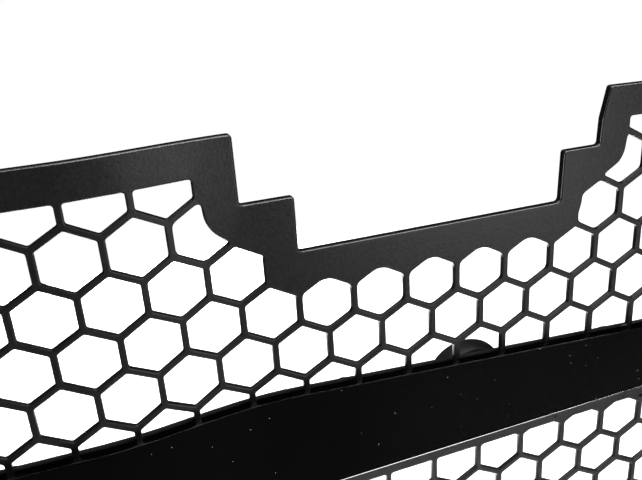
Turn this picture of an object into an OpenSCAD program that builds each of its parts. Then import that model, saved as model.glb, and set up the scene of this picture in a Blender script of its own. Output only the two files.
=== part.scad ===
// Front grille for a full-size pickup: two honeycomb mouldings joined by a shell bar,
// with a channel, brackets, clips, foam and push-in retainers behind them.
// X runs across the vehicle, Z is up and the front of the grille faces -Y.
// The origin is the centre of the four side bolts, at the brackets' rear face.

/* [Overall] */
// Width across the ends of the top rail
grille_w = 1014; // [1000:2:1030]
// Height of the top edge above the side bolts' centre, at the middle
top_z = 152.5; // [150:0.5:154]
// How far the top edge falls from the middle to each end
top_fall = 8; // [0:1:10]
// Height of the bottom edge, at the middle
bottom_z = -139; // [-142:1:-136]
// How far the bottom edge rises from the middle to each end
bottom_rise = 5; // [0:1:8]
// How much each end leans in from top to bottom
end_taper = 26; // [0:2:30]

/* [Mesh] */
// Distance between the upright struts of neighbouring cells
cell_w = 26; // [26:1:26]
// Height of a cell from point to point, on the strut centre lines
cell_h = 29.12; // [28.5:0.02:30]
// Width of a strut
strut_w = 3; // [2.4:0.2:3.6]
// Depth of the mesh from front to back
mesh_t = 2.6; // [2:0.2:3]
// Height of the first full row of cells beside the notch
first_row_z = 113.5; // [112:0.5:115]
// Width of the plain border round the mesh
border_w = 15.5; // [14:0.5:17]
// Depth of the border and rails
frame_t = 4; // [3.4:0.2:4]

/* [Plan shape] */
// Where the flat outer zones have the mesh's front face
mesh_y = -14; // [-16:1:-14]
// How far the middle stands forward of the outer zones
nose = 8.6; // [0:0.2:10]
// Half width of the flat middle
nose_in = 36; // [30:1:40]
// Where the ramp to the outer zones ends
nose_out = 112; // [108:1:118]

/* [Notch] */
// Centre of the latch notch, from the middle of the grille
notch_x = 196; // [190:1:200]
// Width of the lower, narrow part
notch_low_w = 129; // [124:1:132]
// Width of the upper, wide part
notch_up_w = 176; // [172:1:180]
// Height of the notch's bottom edge
notch_low_z = 97; // [96:0.5:99]
// Height of the step on each side
notch_step_z = 122.2; // [120:0.2:124]
// Radius at the two bottom corners
notch_r = 2; // [1:0.5:3]

/* [Bar] */
// Upper edge of the bar over its level middle
bar_top_z = 28.9; // [28:0.1:30]
// Lower edge of the bar over its level middle
bar_low_z = -26.2; // [-28:0.2:-26]
// Half length of the level middle
bar_flat = 120; // [115:1:125]
// Fall of the upper edge per millimetre outside the middle
bar_top_slope = 0.0505; // [0.048:0.0005:0.052]
// Rise of the lower edge per millimetre outside the middle
bar_low_slope = 0.0345; // [0.032:0.0005:0.035]
// How far the bar stands in front of the mesh
bar_fwd = 5; // [5:0.5:6]
// Wall thickness of the bar's shell
bar_wall = 2.2; // [2:0.2:2.4]

/* [Fixings] */
// Where the push-in retainers and their brackets are
top_fix_x = [-430, -150, 0, 390];
// Where the tongues and their clips are
tongue_x = [-380, -130, 130, 380];
// Where the screws that hold the bar are, in an upper and a lower row
bar_fix_x = [-440, -300, -150, 0, 150, 300, 440];
// Distance across the side bolts
side_bolt_w = 1038; // [1036:2:1042]
// Distance between the upper and lower side bolts
side_bolt_h = 150; // [140:2:160]
// Radius of the side bolts' clearance holes
side_bolt_r = 3.3; // [3.2:0.1:3.5]
// Radius of a retainer's split shank
retainer_r = 3.9; // [3.9:0.1:4]
// Distance of each stop cup from the middle
cup_x = 222; // [215:1:228]
// Radius of a stop cup's rim
cup_r = 22; // [20:1:22]
// Radius of the bore that takes a stop peg
cup_bore_r = 12; // [10:1:14]

/* [Hidden] */
$fn = 48;
half_w = grille_w / 2;
row_h = 0.75 * cell_h;
open_k = (cell_w - strut_w) / cell_w;   // size of an opening against its cell
reach = 400;                            // longer than anything that it cuts
top_rows = [-1:5];
low_rows = [7:11];
bar_end = 477.5;
flange_h = 11;                          // what each moulding hides behind the bar
bar_cover = 3;                          // openings run on behind the bar's upper edge by this much
lip_h = 9.4;                            // plain border under the bar
bar_fix_in = [6.5, 6];                  // bar screws from the bar's upper and lower edges
bar_bite = 3;                           // how far the bar screws reach in front of the mouldings
seam_z = -2;                            // where the mouldings meet in the end rails
seam_gap = 0.5;
pad_t = 5;
sheet_t = 1.5;                          // steel of the top brackets
leg_w = 40;
leg_len = 27;
leg_h = 11;
leg_screw_x = 14;
leg_screw_in = 6.5;                     // bracket screws from the top edge
blind_y = 1.5;                          // plastic left in front of a blind hole
retainer_y = 24;                        // retainer behind the mesh's front face
retainer_l = 12;
split_l = 5;                            // length of the cross slots in a shank
pin_r = 1.9;
pin_gap = 0.05;
head_gap = 0.3;
screw_r = 1.9;
screw_hole_r = 2.1;
screw_head_r = 3.8;
screw_head_t = 2.4;
washer_r = 4.6;
washer_t = 0.8;
bar_boss_r = 4;
beam_t = 2;
beam_in = 1.8;                          // beam's edges inside the bar's
rib_z = [-4, 2.4];
rib_t = 1.6;
rib_end = 424;
rib_back = 18;
beam_back = frame_t + beam_t;
cup_front = 8;
cup_back = 20;
cup_floor = 11.5;
side_plate_t = 2;
side_lap = 14;                          // side bracket behind the end rail
side_fix_z = [-110, -40, 40, 110];
side_fix_in = 8;                        // side screws from the slanting end
tongue_w = 22;
tongue_l = 18;
clip_t = 0.7;
foam_t = 6;
foam_spans = [[-405, -175], [-122, -28], [300, 366], [414, 470]];

// ---- Curves that the pieces share ----

function smooth(u) = u * u * (3 - 2 * u);
function ramp(x) = smooth(max(0, min(1, (nose_out - abs(x)) / (nose_out - nose_in))));
function plan_y(x) = mesh_y - nose * ramp(x);
function top_edge(x) = top_z - top_fall * pow(x / half_w, 2);
function bottom_edge(x) = bottom_z + bottom_rise * pow(x / half_w, 2);
function end_x(z) = half_w - end_taper * (top_z - z) / (top_z - bottom_z);
function bar_top(x) = bar_top_z - bar_top_slope * max(0, abs(x) - bar_flat);
function bar_low(x) = bar_low_z + bar_low_slope * max(0, abs(x) - bar_flat);
function bar_fix_z(x) = [bar_top(x) - bar_fix_in[0], bar_low(x) + bar_fix_in[1]];

// Stations across the grille: close together on the two ramps, far apart elsewhere
ramp_steps = [for (i = [0:6]) nose_in + (nose_out - nose_in) * i / 6];
stations = concat([-half_w - 20], [for (i = [6:-1:0]) -ramp_steps[i]], ramp_steps, [half_w + 20]);
edge_x = [for (i = [-12:12]) half_w * i / 12];
bar_x = [-bar_end, -bar_flat, bar_flat, bar_end];

function backwards(list) = [for (i = [len(list) - 1:-1:0]) list[i]];

// ---- Shared shapes ----

// Everything between two depths behind the mesh's front face
module band(front, back) {
    linear_extrude(height = 2 * reach, center = true)
        polygon(concat(
            [for (x = stations) [x, plan_y(x) + front]],
            [for (x = backwards(stations)) [x, plan_y(x) + back]]
        ));
}

// Stands a front view up and gives it depth
module front_view() {
    rotate([90, 0, 0]) linear_extrude(height = reach, center = true) children();
}

// A cylinder along Y between two depths behind the front face at x
module peg(x, z, r, front, back) {
    translate([x, plan_y(x) + back, z]) rotate([90, 0, 0]) cylinder(r = r, h = back - front);
}

module cell_opening(x, z) {
    translate([x, z]) scale(open_k) polygon([
        [0, cell_h / 2], [cell_w / 2, cell_h / 4], [cell_w / 2, -cell_h / 4],
        [0, -cell_h / 2], [-cell_w / 2, -cell_h / 4], [-cell_w / 2, cell_h / 4]
    ]);
}

// Column positions of a row: odd rows have a cell on the middle, even rows a strut
function row_z(row) = first_row_z - row_h * row;
function row_cells(row) =
    let (shift = row % 2 == 0 ? cell_w / 2 : 0, n = ceil(half_w / cell_w))
    [for (i = [-n:n]) if (abs(i * cell_w + shift) < end_x(row_z(row)) - border_w - 6) i * cell_w + shift];

// Round-cornered zone within d of the notch
module notch_zone(d) {
    for (part = [[notch_low_w, notch_low_z], [notch_up_w, notch_step_z]]) {
        translate([notch_x - part[0] / 2 - d, part[1]]) square([part[0] + 2 * d, reach]);
        translate([notch_x - part[0] / 2, part[1] - d]) square([part[0], reach]);
        for (side = [-1, 1]) translate([notch_x + side * part[0] / 2, part[1]]) circle(r = d);
    }
}

module notch() {
    difference() {
        union() {
            translate([notch_x - notch_low_w / 2, notch_low_z]) square([notch_low_w, reach]);
            translate([notch_x - notch_up_w / 2, notch_step_z]) square([notch_up_w, reach]);
        }
        for (side = [-1, 1]) notch_corner(side);
    }
}

// What stays in a bottom corner of the notch so that it is rounded
module notch_corner(side) {
    x = notch_x + side * notch_low_w / 2;
    difference() {
        translate([x - (side > 0 ? notch_r : 0), notch_low_z]) square(notch_r);
        translate([x - side * notch_r, notch_low_z + notch_r]) circle(r = notch_r);
    }
}

// Is a cell clear of the border round the notch?
function clear_of_notch(x, z) =
    let (
        low_dx = abs(x - notch_x) - notch_low_w / 2, low_dz = notch_low_z - z,
        up_dx = abs(x - notch_x) - notch_up_w / 2, up_dz = notch_step_z - z,
        low_d = norm([max(0, low_dx), max(0, low_dz)]), up_d = norm([max(0, up_dx), max(0, up_dz)])
    ) min(low_d, up_d) > border_w + 0.5;

// ---- Front views of the two mouldings ----

module upper_region() {
    polygon(concat(
        [for (x = edge_x) [x, top_edge(x)]],
        [[end_x(seam_z), seam_z], [bar_end, seam_z]],
        [for (x = backwards(bar_x)) [x, bar_top(x) - flange_h]],
        [[-bar_end, seam_z], [-end_x(seam_z), seam_z]]
    ));
}

module upper_window() {
    difference() {
        polygon(concat(
            [for (x = edge_x) [x * (half_w - border_w) / half_w, top_edge(x) - border_w]],
            [[end_x(0) - border_w, 0]],
            [for (x = backwards(bar_x)) [x, bar_top(x) - bar_cover]],
            [[-end_x(0) + border_w, 0]]
        ));
        notch_zone(border_w);
    }
}

module upper_openings() {
    intersection() {
        upper_window();
        for (row = top_rows, x = row_cells(row))
            if (clear_of_notch(x, row_z(row)) && row_z(row) + cell_h / 2 > bar_top(x) + bar_cover)
                cell_opening(x, row_z(row));
    }
}

module lower_region() {
    z = seam_z - seam_gap;
    polygon(concat(
        [[-end_x(z), z], [-bar_end, z]],
        [for (x = bar_x) [x, bar_low(x) + flange_h - 1]],
        [[bar_end, z], [end_x(z), z]],
        [for (x = backwards(edge_x)) [x * end_x(bottom_z) / half_w, bottom_edge(x)]]
    ));
}

module lower_window() {
    k = (end_x(bottom_z) - border_w) / half_w;
    polygon(concat(
        [[-end_x(bar_low_z) + border_w, bar_low(bar_end) - lip_h]],
        [for (x = [-bar_flat, bar_flat]) [x, bar_low(x) - lip_h]],
        [[end_x(bar_low_z) - border_w, bar_low(bar_end) - lip_h]],
        [for (x = backwards(edge_x)) [x * k, bottom_edge(x) + border_w]]
    ));
}

module lower_openings() {
    intersection() {
        lower_window();
        for (row = low_rows, x = row_cells(row)) cell_opening(x, row_z(row));
    }
}

// ---- Mouldings ----

module bar_fix_holes(r, front, back) {
    for (x = bar_fix_x, z = bar_fix_z(x)) peg(x, z, r, front, back);
}

module side_fix(z_list, r, front, back) {
    for (z = z_list, side = [-1, 1]) peg(side * (end_x(z) - side_fix_in), z, r, front, back);
}

module upper_grille() {
    color("#26272a") difference() {
        union() {
            intersection() {
                band(0, mesh_t);
                front_view() difference() { upper_region(); upper_openings(); notch(); }
            }
            intersection() {
                band(0, frame_t);
                front_view() difference() { upper_region(); upper_window(); notch(); }
            }
            for (x = top_fix_x)
                translate([x - leg_w / 2 - 2, plan_y(x) + frame_t - 0.5, leg_z(x)])
                    cube([leg_w + 4, pad_t + 0.5, leg_h]);
            side_fix([40, 110], 5, frame_t - 0.5, -mesh_y - side_plate_t);
        }
        bar_fix_holes(screw_hole_r, -1, frame_t + 1);
        side_fix([40, 110], screw_r, blind_y, reach);
        for (x = top_fix_x, side = [-1, 1])
            peg(x + side * leg_screw_x, top_edge(x) - leg_screw_in, screw_r, blind_y, reach);
    }
}

module lower_grille() {
    color("#26272a") difference() {
        union() {
            intersection() {
                band(0, mesh_t);
                front_view() difference() { lower_region(); lower_openings(); }
            }
            intersection() {
                band(0, frame_t);
                front_view() difference() { lower_region(); lower_window(); }
            }
            for (x = tongue_x)
                translate([x - tongue_w / 2, mesh_y + 1, bottom_edge(x) - tongue_l])
                    cube([tongue_w, frame_t - 1, tongue_l + 5]);
            side_fix([-40, -110], 5, frame_t - 0.5, -mesh_y - side_plate_t);
        }
        bar_fix_holes(screw_hole_r, -1, frame_t + 1);
        side_fix([-40, -110], screw_r, blind_y, reach);
    }
}

module bar_outline(inset) {
    end = bar_end - inset;
    polygon(concat(
        [for (x = [-end, -bar_flat, bar_flat, end]) [x, bar_top(x) - inset]],
        [for (x = [end, bar_flat, -bar_flat, -end]) [x, bar_low(x) + inset]]
    ));
}

module centre_bar() {
    color("#0c0c0d") difference() {
        union() {
            difference() {
                intersection() { band(-bar_fwd, 0); front_view() bar_outline(0); }
                intersection() { band(bar_wall - bar_fwd, 1); front_view() bar_outline(bar_wall); }
            }
            bar_fix_holes(bar_boss_r, bar_wall - bar_fwd - 0.5, 0);
        }
        bar_fix_holes(screw_r, -bar_bite - 0.4, 1);
    }
}

// ---- Behind the bar ----

module bar_beam() {
    color("#3a3c3e") difference() {
        union() {
            intersection() {
                band(frame_t, beam_back);
                front_view() polygon(concat(
                    [for (x = bar_x) [x, bar_top(x) - beam_in]],
                    [for (x = backwards(bar_x)) [x, bar_low(x) + beam_in]]
                ));
            }
            for (z = rib_z)
                intersection() {
                    band(beam_back - 0.5, rib_back);
                    front_view() translate([-rib_end, z]) square([2 * rib_end, rib_t]);
                }
        }
        for (side = [-1, 1]) {
            peg(side * cup_x, 0, cup_r + 2, beam_back, reach);
            peg(side * cup_x, 0, screw_hole_r, 0, reach);
        }
        bar_fix_holes(screw_hole_r, 0, reach);
    }
}

module cross_recess(x, z, back) {
    for (size = [[4.4, 1], [1, 4.4]])
        translate([x - size[0] / 2, plan_y(x) + back - 1.2, z - size[1] / 2]) cube([size[0], 2, size[1]]);
}

// Pan-head screw that points forward, its head's underside at depth seat
module screw(x, z, seat, length) {
    difference() {
        union() {
            peg(x, z, screw_head_r, seat, seat + screw_head_t);
            peg(x, z, screw_r, seat - length, seat + 0.5);
        }
        cross_recess(x, z, seat + screw_head_t);
    }
}

module bar_screws() {
    color("#9a9c9e") for (x = bar_fix_x, z = bar_fix_z(x))
        screw(x, z, beam_back + washer_t, beam_back + washer_t + bar_bite);
}

module bar_washers() {
    color("#b4b6b8") difference() {
        bar_fix_holes(washer_r, beam_back, beam_back + washer_t);
        bar_fix_holes(screw_hole_r, 0, reach);
    }
}

module stop_cup(side) {
    x = side * cup_x;
    color("#2e2f31") difference() {
        union() {
            peg(x, 0, cup_r, cup_front, cup_back);
            peg(x, 0, 9, beam_back, cup_front + 1);
        }
        peg(x, 0, cup_bore_r, cup_floor, reach);
        difference() {
            peg(x, 0, cup_r - 3, 0, cup_front + 1.5);
            peg(x, 0, 9, 0, reach);
        }
        peg(x, 0, screw_r, 0, cup_floor - 1);
    }
}
module stop_cup_left() stop_cup(-1);
module stop_cup_right() stop_cup(1);

module cup_screws() {
    color("#9a9c9e") for (side = [-1, 1]) {
        x = side * cup_x;
        peg(x, 0, screw_head_r, frame_t - screw_head_t, frame_t);
        peg(x, 0, screw_r, frame_t - 0.5, cup_floor - 1.5);
    }
}

// ---- Top fixings ----

function leg_z(x) = top_edge(x) - leg_h - 2;

module top_bracket(i) {
    x = top_fix_x[i];
    y = plan_y(x) + frame_t + pad_t;
    color("#55585b") difference() {
        union() {
            translate([x - leg_w / 2, y, leg_z(x)]) cube([leg_w, sheet_t, leg_h]);
            translate([x - leg_w / 2, y, leg_z(x)]) cube([leg_w, leg_len, sheet_t]);
        }
        for (side = [-1, 1]) peg(x + side * leg_screw_x, top_edge(x) - leg_screw_in, screw_hole_r, 0, reach);
        translate([x, plan_y(x) + retainer_y, leg_z(x) - 1]) cylinder(r = retainer_r + 0.35, h = sheet_t + 2);
        for (side = [-1, 1])
            translate([x + side * leg_w / 2, y + leg_len, leg_z(x) - 1])
                rotate([0, 0, 45]) cube([12, 12, 12], center = true);
    }
}
module top_bracket_1() top_bracket(0);
module top_bracket_2() top_bracket(1);
module top_bracket_3() top_bracket(2);
module top_bracket_4() top_bracket(3);

module top_bracket_screws() {
    color("#9a9c9e") for (x = top_fix_x, side = [-1, 1])
        screw(x + side * leg_screw_x, top_edge(x) - leg_screw_in, frame_t + pad_t + sheet_t, 8);
}

module retainer_sleeves() {
    color("#1b1c1d") for (x = top_fix_x)
        translate([x, plan_y(x) + retainer_y, leg_z(x)]) difference() {
            union() {
                translate([0, 0, sheet_t]) cylinder(r = 8, h = sheet_t);
                cylinder(r = retainer_r + 0.3, h = sheet_t + 0.5);
                translate([0, 0, -retainer_l]) cylinder(r = retainer_r, h = retainer_l + 0.5);
            }
            translate([0, 0, -retainer_l - 1]) cylinder(r = pin_r + pin_gap, h = 40);
            for (turn = [0, 90]) rotate([0, 0, turn])
                translate([-6, -0.5, -retainer_l - 1]) cube([12, 1, split_l + 1]);
        }
}

module retainer_pin(i) {
    x = top_fix_x[i];
    color("#1b1c1d") translate([x, plan_y(x) + retainer_y, leg_z(x) + 2 * sheet_t + head_gap]) {
        cylinder(r = 6, h = 1.6);
        translate([0, 0, -retainer_l - 2 * sheet_t]) cylinder(r = pin_r, h = retainer_l + 2 * sheet_t + 1);
    }
}
module retainer_pin_1() retainer_pin(0);
module retainer_pin_2() retainer_pin(1);
module retainer_pin_3() retainer_pin(2);
module retainer_pin_4() retainer_pin(3);

// ---- Side fixings ----

module side_bracket(side) {
    reach_x = side_bolt_w / 2 + 12;
    z_end = side_bolt_h / 2 + 45;
    color("#55585b") difference() {
        translate([0, -side_plate_t / 2, 0]) rotate([90, 0, 0])
            linear_extrude(height = side_plate_t, center = true) scale([side, 1]) polygon([
                [end_x(z_end) - side_lap, z_end], [end_x(z_end), z_end], [reach_x, side_bolt_h / 2 + 12],
                [reach_x, -side_bolt_h / 2 - 12], [end_x(-z_end), -z_end], [end_x(-z_end) - side_lap, -z_end]
            ]);
        for (z = [-1, 1] * side_bolt_h / 2)
            translate([side * side_bolt_w / 2, 1, z]) rotate([90, 0, 0]) cylinder(r = side_bolt_r, h = 4);
        side_fix(side_fix_z, screw_hole_r, 0, reach);
    }
}
module side_bracket_left() side_bracket(-1);
module side_bracket_right() side_bracket(1);

module side_bracket_screws() {
    color("#9a9c9e") for (z = side_fix_z, side = [-1, 1])
        screw(side * (end_x(z) - side_fix_in), z, -mesh_y, 11);
}

module side_pad(side) {
    color("#18181a") translate([side * 483 - 4, mesh_y + frame_t, -26]) cube([8, foam_t, 52]);
}
module side_pad_left() side_pad(-1);
module side_pad_right() side_pad(1);

// ---- Bottom fixings and foam ----

// Spring clip folded round the end of a tongue, with a barb on each side
module lower_clip(i) {
    x = tongue_x[i];
    tip = bottom_edge(x) - tongue_l;
    w = 14;
    color("#7d8083") translate([x - w / 2, mesh_y, tip]) {
        translate([0, 1 - clip_t, -clip_t]) cube([w, frame_t - 1 + 2 * clip_t, clip_t]);
        translate([0, 1 - clip_t, -0.1]) cube([w, clip_t, 12]);
        translate([0, frame_t, -0.1]) cube([w, clip_t, 12]);
        translate([4, frame_t + clip_t - 0.2, 2]) rotate([-24, 0, 0]) cube([6, clip_t, 8]);
        translate([4, 1 - clip_t + 0.2, 2]) rotate([24, 0, 0]) translate([0, -clip_t, 0]) cube([6, clip_t, 8]);
    }
}
module lower_clip_1() lower_clip(0);
module lower_clip_2() lower_clip(1);
module lower_clip_3() lower_clip(2);
module lower_clip_4() lower_clip(3);

module top_foam() {
    color("#18181a") intersection() {
        band(frame_t, frame_t + foam_t);
        front_view() for (span = foam_spans)
            translate([span[0], top_edge(max(abs(span[0]), abs(span[1]))) - 13])
                square([span[1] - span[0], 10]);
    }
}

module bottom_foam() {
    color("#18181a") intersection() {
        band(frame_t, frame_t + foam_t);
        front_view() for (i = [0:2]) {
            from = tongue_x[i] + tongue_w / 2 + 6;
            to = tongue_x[i + 1] - tongue_w / 2 - 6;
            translate([from, bottom_edge(380) + 1]) square([to - from, 9]);
        }
    }
}

// ---- The whole grille ----

upper_grille();
lower_grille();
centre_bar();
bar_beam();
bar_screws();
bar_washers();
stop_cup_left();
stop_cup_right();
cup_screws();
top_bracket_1();
top_bracket_2();
top_bracket_3();
top_bracket_4();
top_bracket_screws();
retainer_sleeves();
retainer_pin_1();
retainer_pin_2();
retainer_pin_3();
retainer_pin_4();
side_bracket_left();
side_bracket_right();
side_bracket_screws();
lower_clip_1();
lower_clip_2();
lower_clip_3();
lower_clip_4();
top_foam();
bottom_foam();
side_pad_left();
side_pad_right();
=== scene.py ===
"""Looks of the front grille: two satin honeycomb mouldings, a gloss bar and what holds them."""

import logging
import math
from collections.abc import Callable, Iterable, Sequence
from dataclasses import dataclass
from enum import Enum

import bmesh
import bpy
from mathutils import Matrix, Vector
from mathutils.geometry import delaunay_2d_cdt


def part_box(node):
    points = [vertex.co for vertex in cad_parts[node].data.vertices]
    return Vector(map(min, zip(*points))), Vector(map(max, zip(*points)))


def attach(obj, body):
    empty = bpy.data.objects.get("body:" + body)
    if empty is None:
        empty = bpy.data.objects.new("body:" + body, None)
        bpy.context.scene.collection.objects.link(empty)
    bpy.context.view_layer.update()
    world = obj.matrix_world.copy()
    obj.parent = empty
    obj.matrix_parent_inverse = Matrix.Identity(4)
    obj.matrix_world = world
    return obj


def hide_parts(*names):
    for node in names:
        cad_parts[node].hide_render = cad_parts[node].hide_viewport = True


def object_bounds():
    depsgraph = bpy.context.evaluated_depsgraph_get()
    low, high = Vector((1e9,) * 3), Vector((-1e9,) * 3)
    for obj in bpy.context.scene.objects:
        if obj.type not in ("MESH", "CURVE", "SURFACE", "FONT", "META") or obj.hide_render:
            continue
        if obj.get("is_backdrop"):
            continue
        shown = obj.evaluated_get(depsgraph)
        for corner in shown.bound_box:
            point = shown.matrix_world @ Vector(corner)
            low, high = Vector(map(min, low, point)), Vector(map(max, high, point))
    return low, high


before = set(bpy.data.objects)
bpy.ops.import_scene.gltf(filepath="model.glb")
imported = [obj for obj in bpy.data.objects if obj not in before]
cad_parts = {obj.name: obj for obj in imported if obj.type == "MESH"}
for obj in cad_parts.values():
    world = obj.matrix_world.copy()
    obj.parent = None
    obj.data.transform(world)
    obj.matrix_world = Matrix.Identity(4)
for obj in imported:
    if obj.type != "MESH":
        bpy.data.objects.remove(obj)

LOG = logging.getLogger("grille")
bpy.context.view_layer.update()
MM = 0.001
BODY = "grille"

Point = tuple[float, float]
Loop = list[Point]
Place = tuple[float, float, float]
Steps = Sequence[tuple[float, float]]
Bend = Callable[[float, float, float], Place]

# Sizes that several sub-assemblies share, in millimetres, and steps in half the grille's width
SIDE_SCREW_Z = (40.0, 110.0)
SIDE_SCREW_IN = 8.0
SCREW_HOLE_R = 2.1
PAD_DROP = 2.0
SCREW_HOLE_POINTS = 20
HALF_SPAN_STEPS = 24


# ---- Finishes ----

# Pattern sizes in millimetres: dust cell, speck radius, pore and zinc crystal
DUST_GAP = 9.0
DUST_RADIUS = 0.17
PORE_SIZE = 0.9
SPANGLE_SIZE = 1.2
# Share of the dust cells that hold a speck, and how squarely forward a face must look to carry one
DUST_SHARE = 0.25
DUST_FACING = -0.7
DUST_COLOUR = "#606264"
SPANGLE_COLOUR = "#e2e4e3"
SPANGLE_SHARE = 0.35
BUMP_STRENGTH = 0.8


def linear(code: str) -> tuple[float, float, float, float]:
    """Turns an sRGB hex code into a linear colour.

    Args:
        code: Six hex digits, with or without a leading #.

    Returns:
        Linear red, green, blue and an alpha of 1.
    """
    code = code.lstrip("#")
    parts = [int(code[i : i + 2], 16) / 255 for i in (0, 2, 4)]
    low, high = [c / 12.92 for c in parts], [((c + 0.055) / 1.055) ** 2.4 for c in parts]
    return (*(a if c <= 0.04045 else b for a, b, c in zip(low, high, parts)), 1.0)


def add(
    tree: bpy.types.NodeTree,
    kind: str,
    settings: dict | None = None,
    links: dict | None = None,
    **attributes: object,
) -> bpy.types.Node:
    """Adds a node, sets its sockets and attributes and links it.

    Args:
        tree: Tree to add to.
        kind: Node type name.
        settings: Input socket name or index to its value.
        links: Input socket name or index to the output socket that feeds it.
        **attributes: Node attributes.

    Returns:
        The new node.
    """
    node = tree.nodes.new(kind)
    for name, value in attributes.items():
        setattr(node, name, value)
    for key, value in (settings or {}).items():
        node.inputs[key].default_value = value
    for key, source in (links or {}).items():
        tree.links.new(source, node.inputs[key])
    return node


class Detail(Enum):
    """What a finish shows besides its grain."""

    PLAIN = "plain"
    DUST = "dust"
    PORES = "pores"
    SPANGLE = "spangle"
    DRAWN = "drawn"


@dataclass(frozen=True)
class Finish:
    """A material and how its surface was made, with its pattern sizes in millimetres."""

    name: str
    slot: str
    colour: str
    second: str
    rough: float
    rough_span: float
    grain_mm: float
    grain_depth_mm: float
    mottle_mm: float = 60.0
    metallic: float = 0.0
    ior: float = 1.5
    detail: Detail = Detail.PLAIN

    def material(self) -> bpy.types.Material:
        """Builds the node material once.

        Returns:
            The material, the same one each time.
        """
        known = bpy.data.materials.get(self.name)
        if known:
            return known
        made = bpy.data.materials.new(self.name)
        made.use_nodes = True
        tree = made.node_tree
        tree.nodes.clear()
        where = add(tree, "ShaderNodeTexCoord").outputs["Object"]
        mottle = self._noise(tree, where, self.mottle_mm, 3.0)
        tint = add(
            tree, "ShaderNodeMix", {6: linear(self.colour), 7: linear(self.second)},
            {0: mottle}, data_type="RGBA",
        ).outputs[2]
        rough_noise = self._noise(tree, where, self.grain_mm * 6, 2.0)
        rough = add(
            tree, "ShaderNodeMapRange",
            {"To Min": self.rough - self.rough_span, "To Max": self.rough + self.rough_span},
            {"Value": rough_noise},
        ).outputs["Result"]
        height = self._noise(tree, where, self.grain_mm, 4.0)
        height, tint = self._with_detail(tree, where, height, tint)
        bump = add(
            tree, "ShaderNodeBump", {"Strength": BUMP_STRENGTH, "Distance": self.grain_depth_mm * MM},
            {"Height": height},
        )
        shader = add(
            tree, "ShaderNodeBsdfPrincipled", {"Metallic": self.metallic},
            {"Base Color": tint, "Roughness": rough, "Normal": bump.outputs["Normal"]},
        )
        if not self.metallic:
            shader.inputs["IOR"].default_value = self.ior
        add(tree, "ShaderNodeOutputMaterial", links={"Surface": shader.outputs["BSDF"]})
        return made

    @staticmethod
    def _noise(
        tree: bpy.types.NodeTree, where: bpy.types.NodeSocket, size_mm: float, detail: float
    ) -> bpy.types.NodeSocket:
        """Adds a noise whose grains are size_mm across.

        Args:
            tree: Tree to add to.
            where: Coordinates.
            size_mm: Size of a grain.
            detail: Octaves.

        Returns:
            The noise's value.
        """
        settings = {"Scale": 1 / (size_mm * MM), "Detail": detail, "Roughness": 0.55}
        return add(tree, "ShaderNodeTexNoise", settings, {"Vector": where}).outputs[0]

    def _with_detail(
        self,
        tree: bpy.types.NodeTree,
        where: bpy.types.NodeSocket,
        height: bpy.types.NodeSocket,
        tint: bpy.types.NodeSocket,
    ) -> tuple[bpy.types.NodeSocket, bpy.types.NodeSocket]:
        """Adds dust, pores, spangle or drawing marks.

        Args:
            tree: Tree to add to.
            where: Coordinates.
            height: Bump height so far.
            tint: Colour so far.

        Returns:
            The new height and colour.
        """
        if self.detail is Detail.DUST:
            # Lint settles about one speck to a thumbnail; each is drawn 0.34 mm across so that it shows
            upright = add(tree, "ShaderNodeMapping", {"Rotation": (math.pi / 2, 0.0, 0.0)}, {"Vector": where})
            cells = add(tree, "ShaderNodeTexVoronoi", {"Scale": 1 / (DUST_GAP * MM)},
                        {"Vector": upright.outputs[0]}, voronoi_dimensions="2D")
            near = add(tree, "ShaderNodeMath", {1: DUST_RADIUS / DUST_GAP}, {0: cells.outputs["Distance"]},
                       operation="LESS_THAN").outputs[0]
            chance = add(tree, "ShaderNodeSeparateColor", links={0: cells.outputs["Color"]})
            rare = add(tree, "ShaderNodeMath", {1: DUST_SHARE}, {0: chance.outputs[0]},
                       operation="LESS_THAN").outputs[0]
            normal = add(tree, "ShaderNodeTexCoord").outputs["Normal"]
            facing = add(tree, "ShaderNodeSeparateXYZ", links={0: normal}).outputs["Y"]
            ahead = add(tree, "ShaderNodeMath", {1: DUST_FACING}, {0: facing},
                        operation="LESS_THAN").outputs[0]
            pale = add(tree, "ShaderNodeMath", {}, {0: near, 1: rare}, operation="MULTIPLY").outputs[0]
            pale = add(tree, "ShaderNodeMath", {}, {0: pale, 1: ahead}, operation="MULTIPLY").outputs[0]
            tint = add(tree, "ShaderNodeMix", {7: linear(DUST_COLOUR)}, {0: pale, 6: tint},
                       data_type="RGBA").outputs[2]
        elif self.detail is Detail.PORES:
            pores = add(tree, "ShaderNodeTexVoronoi", {"Scale": 1 / (PORE_SIZE * MM)}, {"Vector": where})
            height = add(tree, "ShaderNodeMath", {}, {0: height, 1: pores.outputs["Distance"]},
                         operation="ADD").outputs[0]
        elif self.detail is Detail.SPANGLE:
            grains = add(tree, "ShaderNodeTexVoronoi", {"Scale": 1 / (SPANGLE_SIZE * MM)}, {"Vector": where})
            share = add(tree, "ShaderNodeMapRange", {"To Min": 0.0, "To Max": SPANGLE_SHARE},
                        {"Value": grains.outputs["Distance"]}).outputs["Result"]
            tint = add(tree, "ShaderNodeMix", {7: linear(SPANGLE_COLOUR)}, {0: share, 6: tint},
                       data_type="RGBA").outputs[2]
        elif self.detail is Detail.DRAWN:
            along = add(tree, "ShaderNodeMapping", {"Scale": (1.0, 14.0, 14.0)}, {"Vector": where}).outputs[0]
            height = self._noise(tree, along, self.grain_mm * 6, 3.0)
        return height, tint


# Injection-moulded ABS with a fine spark-eroded texture: deep grey-black with a soft satin sheen
SATIN_ABS = Finish("moulded_satin_abs", "frame_plastic", "#030303", "#151414", 0.30, 0.06, 1.3, 0.08, 1.2)
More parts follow.
